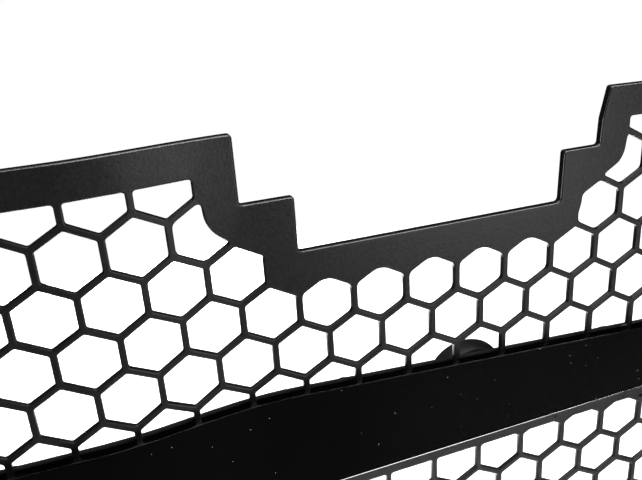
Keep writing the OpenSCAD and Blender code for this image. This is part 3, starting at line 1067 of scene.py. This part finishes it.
@dataclass
class LowerMoulding(Moulding):
    """The lower honeycomb with the lip under the bar and the tongues."""

    tongue_x: tuple[float, ...] = (-380.0, -130.0, 130.0, 380.0)
    tongue_w: float = 22.0
    tongue_l: float = 18.0

    def outline(self) -> Loop:
        """The outline from the flange behind the bar to the bottom edge."""
        p = self.plan
        seam = p.seam_z - 0.5
        share = p.end(p.bottom_z) / p.half_w
        grid = p.span()
        corners = [(x * share, p.bottom(x), 3.0 if abs(x) > p.half_w - 1 else 0.0) for x in grid]
        corners += [(p.end(seam), seam, 1.0), (p.bar_end, seam, 0.0)]
        backs = (p.bar_end, p.bar_flat, -p.bar_flat, -p.bar_end)
        corners += [(x, p.bar_low(x) + p.flange - 1, 0.0) for x in backs]
        corners += [(-p.bar_end, seam, 0.0), (-p.end(seam), seam, 1.0)]
        return resampled(rounded(corners, 4), self.step)

    def lip_z(self, x: float) -> float:
        """Height of the lip's lower edge."""
        return self.plan.bar_low(x) - self.plan.lip

    def window(self, grow: float) -> Loop:
        """The edge of the deeper border, grown outwards by that much."""
        p = self.plan
        b = p.border - grow
        end = p.end(p.bar_low_z) - b
        share = (p.end(p.bottom_z) - b) / p.half_w
        loop = [(x * share, p.bottom(x) + b) for x in p.span()]
        loop += [(x, self.lip_z(x) + grow) for x in (end, p.bar_flat, -p.bar_flat, -end)]
        return resampled(loop, self.step)

    def limits(self, x: float) -> list[tuple[Point, Point]]:
        """The lines that may cut a cell: the lip, the ends and the bottom border."""
        p = self.plan
        b, side = p.border, math.copysign(1, x)
        slope = -side * p.bar_low_slope if abs(x) > p.bar_flat else 0.0
        rise = 2 * p.bottom_rise * x / p.half_w**2
        high = (p.end(p.bar_low_z) - b, self.lip_z(p.bar_end))
        low = (p.end(p.bottom_z) - b, p.bottom(p.half_w) + b)
        run, up = high[0] - low[0], high[1] - low[1]
        return [
            ((x, self.lip_z(x)), (slope, 1.0)),
            ((side * low[0], low[1]), (side * up, -run)),
            ((x, p.bottom(x) + b), (rise, -1.0)),
        ]

    def build(self) -> bpy.types.Object:
        """Builds and dresses the moulding.

        Returns:
            The piece.
        """
        outline = self.outline()
        whole, cut = self.sorted_cells(range(7, 12), self.limits)
        _, pockets = self.sorted_cells([6], self.limits)
        data = self.front(outline, whole, cut + pockets)
        rest = Shell()
        for loop in pockets:
            floor = [(0.0, 1.7), (0.0, 3.0)]
            rest.plate(shifted(loop, 0.9), [], floor, [], self.plan.bent)
        self.back_frame(rest, outline, self.window(0.3))
        self.side_bosses(rest, [-z for z in SIDE_SCREW_Z])
        for x in self.tongue_x:
            z, half, y = self.plan.bottom(x), self.tongue_w / 2, self.plan.mesh_y + 1
            tip = z - self.tongue_l
            shape = rounded([(x - half + 2, tip, 1.0), (x + half - 2, tip, 1.0), (x + half, tip + 6, 3.0),
                             (x + half, z + 5, 1.0), (x - half, z + 5, 1.0), (x - half, tip + 6, 3.0)])
            walls = [(0.4, y), (0, y + 0.4), (0, y + 2.6), (0.4, y + 3)]
            rest.plate(shape, [], walls, [], lambda a, h, b: (a, h, b))
        LOG.info("lower honeycomb: %d whole, %d cut cells, %d pockets", len(whole), len(cut), len(pockets))
        return finished(merged(data, rest, "lower"), "lower_honeycomb", SATIN_ABS, "lower_grille")


# ---- The bar and what is behind it ----


@dataclass
class Bar:
    """The gloss shell bar. Sizes are in millimetres."""

    plan: Plan
    forward: float = 5.0
    wall: float = 2.2
    low_edge: float = 1.1
    top_edge: float = 0.06
    boss_r: float = 4.0
    boss_from: float = -3.3
    fix_x: tuple[float, ...] = (-440.0, -300.0, -150.0, 0.0, 150.0, 300.0, 440.0)
    fix_in: tuple[float, float] = (6.5, 6.0)
    corner: float = 1.5

    def fix_z(self, x: float) -> tuple[float, float]:
        """Heights of the two screws at x."""
        return self.plan.bar_top(x) - self.fix_in[0], self.plan.bar_low(x) + self.fix_in[1]

    def build(self) -> bpy.types.Object:
        """Builds and dresses the bar.

        Returns:
            The piece.
        """
        p, e = self.plan, self.low_edge
        sharper = self.top_edge / e

        def place(x: float, depth: float, z: float) -> Place:
            """Bends a point to the plan shape, with the upper edge's rounding made sharper."""
            gap = p.bar_top(x) - z
            if gap < e + 0.01 and depth < e + 0.01 - self.forward:
                z, depth = p.bar_top(x) - gap * sharper, (depth + self.forward) * sharper - self.forward
            return p.bent(x, depth, z)

        xs = (-p.bar_end, -p.bar_flat, p.bar_flat, p.bar_end)
        corners = [(x, p.bar_low(x), self.corner if abs(x) > p.bar_flat else 0.0) for x in xs]
        corners += [(x, p.bar_top(x), self.corner if abs(x) > p.bar_flat else 0.0) for x in reversed(xs)]
        outline = resampled(rounded(corners, 4), 4.0)
        arcs = [(e * (1 - math.sin(a)), -self.forward + e * (1 - math.cos(a)))
                for a in (0, math.pi / 6, math.pi / 3, math.pi / 2)]
        steps = [(e + 0.5, -self.forward), *arcs, (0, 0), (self.wall, 0)]
        steps.append((self.wall, self.wall - self.forward))
        columns = 118
        inner = [
            (x, p.bar_low(x) + (p.bar_top(x) - p.bar_low(x)) * k / 5)
            for x in (p.bar_end * i / columns for i in range(2 - columns, columns - 1)) for k in (1, 2, 3, 4)
        ]
        shell = Shell()
        shell.plate(outline, [], steps, [], place, inner)
        for x in self.fix_x:
            for z in self.fix_z(x):
                r, y = self.boss_r, p.y(x)
                profile = [(0, self.boss_from), (r, self.boss_from), (r, -0.4), (r - 0.3, -0.05), (0, -0.05)]
                shell.turned(profile, lambda a, h, b, x=x, y=y, z=z: (x + a, y + h, z + b), 24)
        return finished(shell.mesh("bar"), "gloss_bar", GLOSS_ABS, "centre_bar")


@dataclass
class StopCups:
    """The two round cups that stop against pegs behind the grille."""

    plan: Plan
    cup_x: float = 222.0
    profile: tuple[Point, ...] = (
        (0, 6), (8.5, 6), (9, 6.5), (9, 9.2), (9.4, 9.5), (18.6, 9.5), (19, 9.1), (19, 8.5), (19.4, 8.05),
        (20, 8), (21, 8), (21.7, 8.3), (22, 9), (22, 19), (21.7, 19.7), (21, 20), (13, 20), (12.4, 19.7),
        (12, 19), (12, 12), (11.5, 11.5), (0, 11.5),
    )

    def build(self) -> list[bpy.types.Object]:
        """Builds and dresses both cups."""
        made = []
        for side, name in ((-1, "left"), (1, "right")):
            x, shell = side * self.cup_x, Shell()
            y = self.plan.y(x)
            shell.turned(self.profile, lambda a, h, b, x=x, y=y: (x + a, y + h, b), 72)
            node = f"stop_cup_{name}"
            made.append(finished(shell.mesh("cup"), node + "_turned", GLASS_NYLON, node))
        return made


# ---- Screws and washers ----


def screw_shell(head_r: float, head_t: float, shank_r: float, length: float, recess: float) -> Shell:
    """A domed screw with a cross recess. Its head's underside is at 0 and its head points to +Y.

    Args:
        head_r: Radius of the head.
        head_t: Thickness of the head.
        shank_r: Radius of the shank.
        length: Length of the shank.
        recess: Half length of the recess.

    Returns:
        The screw, about the Y axis.
    """
    shell = Shell()
    flat_r, w, deep = head_r * 0.72, recess * 0.24, head_t * 0.5
    cross = [(w, w), (w, recess), (-w, recess), (-w, w), (-recess, w), (-recess, -w), (-w, -w), (-w, -recess),
             (w, -recess), (w, -w), (recess, -w), (recess, w)]
    outer = circle(0, 0, flat_r, 32)
    rim = shell.ring((x, head_t, z) for x, z in outer)
    mouth = shell.ring((x, head_t, z) for x, z in cross)
    shell.cap(outer + cross, rim + mouth, outer, [cross])
    floor = shell.ring((x * 0.8, head_t - deep, z * 0.8) for x, z in cross)
    shell.join(mouth, floor)
    centre = shell.ring([(0, head_t - deep, 0)])[0]
    shell.faces += [(floor[i - 1], floor[i], centre) for i in range(len(floor))]
    last = rim
    profile = [(head_r * 0.88, head_t * 0.84), (head_r * 0.97, head_t * 0.55), (head_r, head_t * 0.2),
               (head_r * 0.98, 0), (shank_r, 0), (shank_r, -length + 0.8), (shank_r * 0.6, -length)]
    for radius, y in profile:
        ring = shell.ring((x / flat_r * radius, y, z / flat_r * radius) for x, z in outer)
        shell.join(last, ring)
        last = ring
    tip = shell.ring([(0, -length, 0)])[0]
    shell.faces += [(last[i - 1], last[i], tip) for i in range(len(last))]
    return shell


@dataclass
class Fasteners:
    """Every screw and washer, repeated by Geometry Nodes. Sizes are in millimetres."""

    plan: Plan
    repeat: Repeat
    bar: Bar
    frame_t: float = 4.0
    beam_back: float = 6.0
    washer_t: float = 0.8
    washer_r: float = 4.6
    hole_r: float = SCREW_HOLE_R
    head_r: float = 3.8
    head_t: float = 2.4
    shank_r: float = 1.9
    recess: float = 2.2
    bar_screw_bite: float = 3.0
    leg_screw_l: float = 8.0
    side_screw_l: float = 11.0
    cup_screw_l: float = 6.0
    washer_edge: float = 0.12
    bracket_back: float = 10.5
    leg_screw_x: float = 14.0
    leg_screw_in: float = 6.5
    fix_x: tuple[float, ...] = UpperMoulding.fix_x
    cup_x: float = StopCups.cup_x

    def screws(self, name: str, node: str, places: list[Place], length: float) -> bpy.types.Object:
        """Builds one CAD node's screws."""
        part = screw_shell(self.head_r, self.head_t, self.shank_r, length, self.recess)
        data = self.repeat.run(Shell(), part, places, ZINC_STEEL)
        return finished(data, name, ZINC_STEEL, node, crease=50)

    def build(self) -> list[bpy.types.Object]:
        """Builds and dresses the screws and washers."""
        p = self.plan
        bar_places = [(x, p.y(x) + self.beam_back, z) for x in self.bar.fix_x for z in self.bar.fix_z(x)]
        leg_places = [
            (x + s * self.leg_screw_x, p.y(x) + self.bracket_back, p.top(x) - self.leg_screw_in)
            for x in self.fix_x for s in (-1, 1)
        ]
        side_places = [(s * x, 0.0, z) for x, z in p.side_screws() for s in (-1, 1)]
        on_washers = [(x, y + self.washer_t, z) for x, y, z in bar_places]
        bar_screw_l = self.beam_back + self.washer_t + self.bar_screw_bite
        made = [
            self.screws("bar_pan_screws", "bar_screws", on_washers, bar_screw_l),
            self.screws("top_pan_screws", "top_bracket_screws", leg_places, self.leg_screw_l),
            self.screws("side_pan_screws", "side_bracket_screws", side_places, self.side_screw_l),
        ]
        ring, e = Shell(), self.washer_edge
        inner, outer, t = self.hole_r, self.washer_r, self.washer_t
        profile = [(inner + e, 0), (outer - e, 0), (outer, e), (outer, t - e), (outer - e, t), (inner + e, t),
                   (inner, t - e), (inner, e)]
        ring.turned(profile, lambda a, h, b: (a, h, b), 36, closed=True)
        data = self.repeat.run(Shell(), ring, bar_places, ZINC_STEEL)
        made.append(finished(data, "flat_washers", ZINC_STEEL, "bar_washers"))
        cup = screw_shell(self.head_r, self.head_t, self.shank_r, self.cup_screw_l, self.recess)
        cup.places = [(x, -y, z) for x, y, z in cup.places]
        spots = [(s * self.cup_x, p.y(self.cup_x) + self.frame_t, 0.0) for s in (-1, 1)]
        data = self.repeat.run(Shell(), cup, spots, ZINC_STEEL)
        made.append(finished(data, "cup_pan_screws", ZINC_STEEL, "cup_screws", crease=50))
        return made


# ---- Brackets, retainers and clips ----


@dataclass
class TopBracket:
    """A folded sheet-steel bracket behind the top rail. Sizes are in millimetres."""

    plan: Plan
    number: int
    x: float
    width: float = 40.0
    height: float = 11.0
    leg: float = 27.0
    sheet: float = 1.5
    bend_r: float = 2.4
    pad_back: float = 9.0
    hole_y: float = 24.0
    hole_r: float = 4.25
    screw_down: float = 4.5
    nose_cut: float = 8.5
    edge: float = 0.25

    def folded(self, u: float, depth: float, v: float) -> Place:
        """Folds the flat blank: v runs down the upright and then along the leg."""
        r, upright = self.bend_r, self.height - self.bend_r
        y0, z0 = self.plan.y(self.x) + self.pad_back, self.plan.top(self.x) - self.height - PAD_DROP
        turn = (v - upright) / r
        if turn <= 0:
            return (self.x + u, y0 + depth, z0 + self.height - v)
        if turn < math.pi / 2:
            reach = r - depth
            return (self.x + u, y0 + r - reach * math.cos(turn), z0 + r - reach * math.sin(turn))
        return (self.x + u, y0 + r + (v - upright - r * math.pi / 2), z0 + depth)

    def build(self) -> bpy.types.Object:
        """Builds and dresses the bracket."""
        half = self.width / 2
        bend_from = self.height - self.bend_r
        length = bend_from + self.bend_r * math.pi / 2 + self.leg - self.bend_r
        cut = self.nose_cut
        shape = [(-half, 0, 1.5), (half, 0, 1.5), (half, length - cut, 2), (half - cut, length, 2),
                 (-half + cut, length, 2), (-half, length - cut, 2)]
        hole_v = bend_from + self.bend_r * math.pi / 2 + (self.hole_y - self.pad_back - self.bend_r)
        screw_x = Fasteners.leg_screw_x
        holes = [circle(0, hole_v, self.hole_r)]
        holes += [circle(s * screw_x, self.screw_down, SCREW_HOLE_R, SCREW_HOLE_POINTS) for s in (-1, 1)]
        e, t = self.edge, self.sheet
        steps = [(e, 0), (0, e), (0, t - e), (e, t)]
        rows = [bend_from + self.bend_r * math.pi / 2 * k / 6 for k in range(7)]
        outline = resampled(rounded(shape), 1.2)
        inner = [(u, v) for v in rows for u in range(-int(half) + 3, int(half) - 2, 4)]
        shell = Shell()
        shell.plate(outline, holes, steps, steps, self.folded, inner)
        name = f"top_bracket_{self.number}"
        return finished(shell.mesh(name), name + "_folded", COATED_STEEL, name)


@dataclass
class SideBracket:
    """A flat sheet-steel bracket at one end. Sizes are in millimetres."""

    plan: Plan
    side: int
    lap: float = 14.0
    bolt_x: float = 519.0
    bolt_z: float = 75.0
    bolt_r: float = 3.3
    reach: float = 531.0
    half_h: float = 120.0
    bolt_edge: float = 12.0
    sheet: float = 2.0
    edge: float = 0.25

    def build(self) -> bpy.types.Object:
        """Builds and dresses the bracket."""
        p = self.plan
        top, low = p.end(self.half_h), p.end(-self.half_h)
        shape = [(low - self.lap, -self.half_h, 2), (low, -self.half_h, 3)]
        nose_z = self.bolt_z + self.bolt_edge
        shape += [(self.reach, -nose_z, 6), (self.reach, nose_z, 6)]
        shape += [(top, self.half_h, 3), (top - self.lap, self.half_h, 2)]
        outline = rounded(shape, 5)
        holes = [circle(self.bolt_x, z, self.bolt_r) for z in (-self.bolt_z, self.bolt_z)]
        holes += [circle(x, z, SCREW_HOLE_R, SCREW_HOLE_POINTS) for x, z in p.side_screws()]
        e, t = self.edge, self.sheet
        steps = [(e, -t), (0, e - t), (0, -e), (e, 0)]
        shell = Shell()
        shell.plate(resampled(outline, 8.0), holes, steps, steps, lambda x, y, z: (self.side * x, y, z))
        name = "side_bracket_" + ("left" if self.side < 0 else "right")
        return finished(shell.mesh(name), name + "_plate", COATED_STEEL, name)


@dataclass
class Retainers:
    """Push-in retainers: split sleeves that stay, and a pin on its own body in each."""

    plan: Plan
    repeat: Repeat
    fix_x: tuple[float, ...] = UpperMoulding.fix_x
    set_back: float = 24.0
    sheet: float = 1.5
    shank_r: float = 3.9
    bore_r: float = 1.95
    split: float = 5.0
    length: float = 12.0
    pin_r: float = 1.9
    pin_head_r: float = 6.0
    pin_head_t: float = 1.6
    head_gap: float = 0.3
    leg_drop: float = UpperMoulding.pad_h + PAD_DROP
    slot_half: float = 0.5

    def origin(self, x: float) -> Place:
        """Where a retainer meets the underside of its bracket's leg."""
        return (x, self.plan.y(x) + self.set_back, self.plan.top(x) - self.leg_drop)

    def prong_arc(self, radius: float) -> Loop:
        """One prong's edge between two slots, as an arc in the first quarter."""
        start = math.asin(self.slot_half / radius)
        turns = (start + (math.pi / 2 - 2 * start) * k / 8 for k in range(9))
        return [(radius * math.cos(a), radius * math.sin(a)) for a in turns]

    def sleeve(self) -> Shell:
        """One sleeve about the Z axis."""
        shell, b, r, s = Shell(), self.bore_r, self.shank_r, self.sheet
        floor = -self.length + self.split
        profile = [(b, floor), (r, floor), (r, -0.1), (r + 0.3, 0.3), (r + 0.3, s), (7.5, s), (8, s + 0.4),
                   (7.8, 2 * s - 0.4), (7.2, 2 * s), (b + 0.4, 2 * s), (b, 2 * s - 0.4)]
        shell.turned(profile, lambda a, h, c: (a, c, h), 40, closed=True)
        for quarter in range(4):
            turn = Matrix.Rotation(quarter * math.pi / 2, 2)
            rings = []
            for z, outer in ((floor + 0.3, r), (-self.length + 1.5, r), (-self.length, r - 0.7)):
                flat = self.prong_arc(outer) + self.prong_arc(b)[::-1]
                rings.append([(*(turn @ Vector(q)), z) for q in flat])
            shell.loft(rings)
        return shell

    def pin(self, x: float) -> Shell:
        """One pin in its place, head up."""
        ox, oy, oz = self.origin(x)
        z0 = oz + 2 * self.sheet + self.head_gap
        reach = self.length + 2 * self.sheet
        shell = screw_shell(self.pin_head_r, self.pin_head_t, self.pin_r, reach, 2.6)
        shell.places = [(ox + a, oy - c, z0 + h) for a, h, c in shell.places]
        return shell

    def build(self) -> list[bpy.types.Object]:
        """Builds and dresses the sleeves and pins."""
        places = [self.origin(x) for x in self.fix_x]
        data = self.repeat.run(Shell(), self.sleeve(), places, WAXY_NYLON)
        made = [finished(data, "split_sleeves", WAXY_NYLON, "retainer_sleeves")]
        for i, x in enumerate(self.fix_x, 1):
            node = f"retainer_pin_{i}"
            made.append(finished(self.pin(x).mesh("pin"), node + "_domed", WAXY_NYLON, node, f"pin_{i}", 50))
        return made


@dataclass
class LowerClip:
    """A spring-steel clip on one tongue. Sizes are in millimetres."""

    plan: Plan
    number: int
    x: float
    width: float = 14.0
    sheet: float = 0.7
    leg: float = 12.0
    barb_w: float = 6.0
    side_gap: float = 0.15

    def strip(self, shell: Shell, path: Loop, x0: float, x1: float) -> None:
        """Gives a path in the YZ plane the sheet's thickness and a width."""
        left, right = [], []
        for i, q in enumerate(path):
            a, c = Vector(path[max(0, i - 1)]), Vector(path[min(len(path) - 1, i + 1)])
            along = (c - a).normalized()
            normal = Vector((-along.y, along.x)) * (self.sheet / 2)
            left.append(tuple(Vector(q) + normal))
            right.append(tuple(Vector(q) - normal))
        section = left + right[::-1]
        shell.loft([[(x, y, z) for y, z in section] for x in (x0 + self.side_gap, x1 - self.side_gap)])

    def build(self) -> bpy.types.Object:
        """Builds and dresses the clip."""
        y0, tip, half = self.plan.mesh_y, self.plan.bottom(self.x) - LowerMoulding.tongue_l, self.sheet / 2
        front, back = y0 + 1 - half, y0 + 4 + half
        path = [(front, tip + self.leg), (front, tip + 6), (front, tip + 1)]
        path += [(front + 1 - math.cos(a), tip - half + 1 - math.sin(a)) for a in
                 (math.radians(d) for d in (15, 30, 45, 60, 75, 90))]
        path += [(back - 1 + math.sin(a), tip - half + 1 - math.cos(a)) for a in
                 (math.radians(d) for d in (0, 15, 30, 45, 60, 75))]
        path += [(back, tip + 1), (back, tip + 6), (back, tip + self.leg)]
        shell = Shell()
        self.strip(shell, path, self.x - self.width / 2, self.x + self.width / 2)
        for wall, way in ((front, -1), (back, 1)):
            barb = [(wall + way * 0.2, tip + 2), (wall + way * 0.6, tip + 3), (wall + way * 2.2, tip + 7.2),
                    (wall + way * 2.5, tip + 9)]
            self.strip(shell, barb, self.x - self.barb_w / 2, self.x + self.barb_w / 2)
        name = f"lower_clip_{self.number}"
        return finished(shell.mesh(name), name + "_sprung", SPRING_STEEL, name)


# ---- Foam ----


@dataclass
class Foam:
    """Foam strips and pads behind the border. Sizes are in millimetres."""

    plan: Plan
    thick: float = 6.0
    depth: float = 4.0
    round_by: float = 1.1
    spans: tuple[tuple[float, float], ...] = ((-405, -175), (-122, -28), (300, 366), (414, 470))
    tongue_x: tuple[float, ...] = LowerMoulding.tongue_x
    tongue_gap: float = 17.0
    top_drop: float = 13.0
    top_h: float = 10.0
    low_h: float = 9.0
    pad_x: float = 483.0
    pad_half_w: float = 4.0
    pad_half_h: float = 26.0
    fill: float = 0.95

    def dressed(self, shell: Shell, name: str, node: str) -> bpy.types.Object:
        """Dresses one CAD node's foam."""
        return finished(shell.mesh("foam"), name, CELL_FOAM, node, foam_fill=self.fill)

    def strip(self, shell: Shell, x0: float, x1: float, z0: float, z1: float, flat: bool = False) -> None:
        """Adds a strip with soft edges, slightly uneven as cut foam is."""
        count = max(8, int((x1 - x0) / 3))
        rings = []
        r, y1 = self.round_by, self.depth + self.thick
        for i in range(count + 1):
            x = x0 + (x1 - x0) * i / count
            close = min(1.0, (min(i, count - i) + 0.35) / 1.6)
            inset = r * (1 - close)
            wave = 0.12 * math.sin(x * 0.31) + 0.08 * math.sin(x * 0.83 + 1.0)
            back = y1 - 0.25 - inset + wave
            shape = [(self.depth, z0 + inset), (back - r, z0 + inset), (back - 0.3 * r, z0 + inset + 0.3 * r),
                     (back, z0 + inset + r), (back + 0.05, (z0 + z1) / 2), (back, z1 - inset - r),
                     (back - 0.3 * r, z1 - inset - 0.3 * r), (back - r, z1 - inset), (self.depth, z1 - inset)]
            rings.append([(x, (self.plan.mesh_y if flat else self.plan.y(x)) + d, z) for d, z in shape])
        shell.loft(rings)

    def build(self) -> list[bpy.types.Object]:
        """Builds and dresses the strips and pads."""
        p, made = self.plan, []
        top = Shell()
        for x0, x1 in self.spans:
            z0 = p.top(max(abs(x0), abs(x1))) - self.top_drop
            self.strip(top, x0, x1, z0, z0 + self.top_h)
        made.append(self.dressed(top, "top_foam_strips", "top_foam"))
        low = Shell()
        z0 = p.bottom(max(self.tongue_x)) + 1
        for a, b in zip(self.tongue_x, self.tongue_x[1:]):
            self.strip(low, a + self.tongue_gap, b - self.tongue_gap, z0, z0 + self.low_h)
        made.append(self.dressed(low, "bottom_foam_strips", "bottom_foam"))
        for side, name in ((-1, "left"), (1, "right")):
            pad, x, w, h = Shell(), side * self.pad_x, self.pad_half_w, self.pad_half_h
            self.strip(pad, x - w, x + w, -h, h, flat=True)
            made.append(self.dressed(pad, f"side_pad_{name}_soft", f"side_pad_{name}"))
        return made


# ---- Stage ----


@dataclass(frozen=True)
class Lamp:
    """A rectangular lamp. Places and sizes are in metres.

    It is left out of reflections unless mirrored, and lights no dull surface unless lit.
    """

    name: str
    place: Place
    target: Place
    width: float
    height: float
    watts: float
    mirrored: bool
    lit: bool

    def build(self) -> None:
        """Makes the lamp, turned to its target."""
        data = bpy.data.lights.new(self.name, "AREA")
        data.shape, data.size, data.size_y, data.energy = "RECTANGLE", self.width, self.height, self.watts
        made = bpy.data.objects.new(self.name, data)
        bpy.context.scene.collection.objects.link(made)
        made.visible_camera = False
        made.visible_glossy, made.visible_diffuse = self.mirrored, self.lit
        turn = (Vector(self.target) - Vector(self.place)).to_track_quat("-Z", "Y").to_matrix().to_4x4()
        made.matrix_world = Matrix.Translation(self.place) @ turn


@dataclass
class Stage:
    """Camera, floor and soft light. Places are in metres, in the row frame."""

    eye: Place = (0.0560, -0.2936, 0.2156)
    right: Place = (0.94573, -0.31782, -0.06772)
    down: Place = (-0.17652, -0.32749, -0.92822)
    ahead: Place = (0.27283, 0.88980, -0.36581)
    lens: float = 40.62
    sensor: float = 36.0
    floor_drop: float = 0.3
    floor_half: float = 30.0
    sky_strength: float = 1.1
    lamps: tuple[Lamp, ...] = (
        Lamp("left", (-0.95, -0.35, -0.2), (0.0, 0.0, 0.0), 0.25, 0.8, 12.0, True, False),
        Lamp("front", (0.76, -1.05, -0.05), (0.26, 0.0, 0.05), 0.5, 0.6, 1.8, True, True),
        Lamp("near", (0.34, -0.23, 0.40), (0.3, 0.0, 0.12), 0.6, 0.05, 2.5, True, True),
        Lamp("below", (0.5, -0.34, -0.36), (0.4, 0.0, -0.1), 0.35, 0.25, 34.0, False, True),
        Lamp("under", (0.35, -0.10, -0.55), (0.3, -0.02, 0.0), 1.0, 0.2, 14.0, True, False),
        Lamp("above", (0.2, -0.42, 1.05), (0.15, 0.0, 0.08), 2.0, 0.2, 24.0, True, False),
        Lamp("crown", (0.0, 0.55, 1.2), (0.0, 0.0, 0.0), 1.6, 0.3, 4.0, True, False),
        Lamp("back", (-0.2, 1.4, -0.1), (0.0, 0.0, 0.0), 1.4, 0.8, 50.0, False, True),
        Lamp("low_back", (0.1, 0.9, -0.9), (0.0, 0.0, 0.0), 1.4, 0.5, 16.0, True, False),
    )

    def camera(self) -> None:
        """Makes the camera at its angle."""
        data = bpy.data.cameras.new("camera")
        data.lens, data.sensor_width, data.clip_start = self.lens, self.sensor, 0.01
        made = bpy.data.objects.new("camera", data)
        bpy.context.scene.collection.objects.link(made)
        axes = [self.right, [-c for c in self.down], [-c for c in self.ahead]]
        turn = Matrix([[axes[k][row] for k in range(3)] for row in range(3)]).to_4x4()
        made.matrix_world = Matrix.Translation(self.eye) @ turn
        bpy.context.scene.camera = made

    def build(self) -> None:
        """Builds the stage."""
        self.camera()
        scene = bpy.context.scene
        scene.view_settings.view_transform = "Standard"
        world = bpy.data.worlds.new("studio")
        scene.world = world
        world.use_nodes = True
        sky = next(n for n in world.node_tree.nodes if n.type == "BACKGROUND")
        sky.inputs["Color"].default_value = linear("#ffffff")
        sky.inputs["Strength"].default_value = self.sky_strength
        world.cycles_visibility.glossy = False
        world.cycles_visibility.diffuse = False
        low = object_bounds()[0].z - self.floor_drop
        data = bpy.data.meshes.new("floor")
        half = self.floor_half
        corners = [(-half, -half, low), (half, -half, low), (half, half, low), (-half, half, low)]
        data.from_pydata(corners, [], [(0, 1, 2, 3)])
        pale = bpy.data.materials.new("pale_floor")
        pale.use_nodes = True
        shader = next(n for n in pale.node_tree.nodes if n.type == "BSDF_PRINCIPLED")
        shader.inputs["Base Color"].default_value = linear("#e8e8e8")
        shader.inputs["Roughness"].default_value = 0.9
        shader.inputs["Emission Color"].default_value = linear("#ffffff")
        shader.inputs["Emission Strength"].default_value = 1.0
        data.materials.append(pale)
        floor = new_object("floor", data)
        floor.visible_glossy = False
        floor.visible_diffuse = False
        floor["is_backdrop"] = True
        for lamp in self.lamps:
            lamp.build()


def dress_beam() -> None:
    """Gives the carried-over channel its nylon."""
    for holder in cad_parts["bar_beam"].material_slots:
        holder.material = GLASS_NYLON.material()
    LOG.info("bar_beam keeps its CAD shape")


def main() -> None:
    """Builds every piece in order."""
    logging.basicConfig(level=logging.INFO, format="%(name)s: %(message)s")
    Stage().build()
    plan, repeat = Plan.from_frame(), Repeat()
    LOG.info("plan: half width %.2f, top %.2f, bottom %.2f, front %.2f mm",
             plan.half_w, plan.top_z, plan.bottom_z, plan.front)
    UpperMoulding(plan, repeat).build()
    LowerMoulding(plan, repeat).build()
    bar = Bar(plan)
    bar.build()
    dress_beam()
    StopCups(plan).build()
    Fasteners(plan, repeat, bar).build()
    for i, x in enumerate(UpperMoulding.fix_x, 1):
        TopBracket(plan, i, x).build()
    for side in (-1, 1):
        SideBracket(plan, side).build()
    Retainers(plan, repeat).build()
    for i, x in enumerate(LowerMoulding.tongue_x, 1):
        LowerClip(plan, i, x).build()
    Foam(plan).build()


if __name__ == "__main__":
    main()
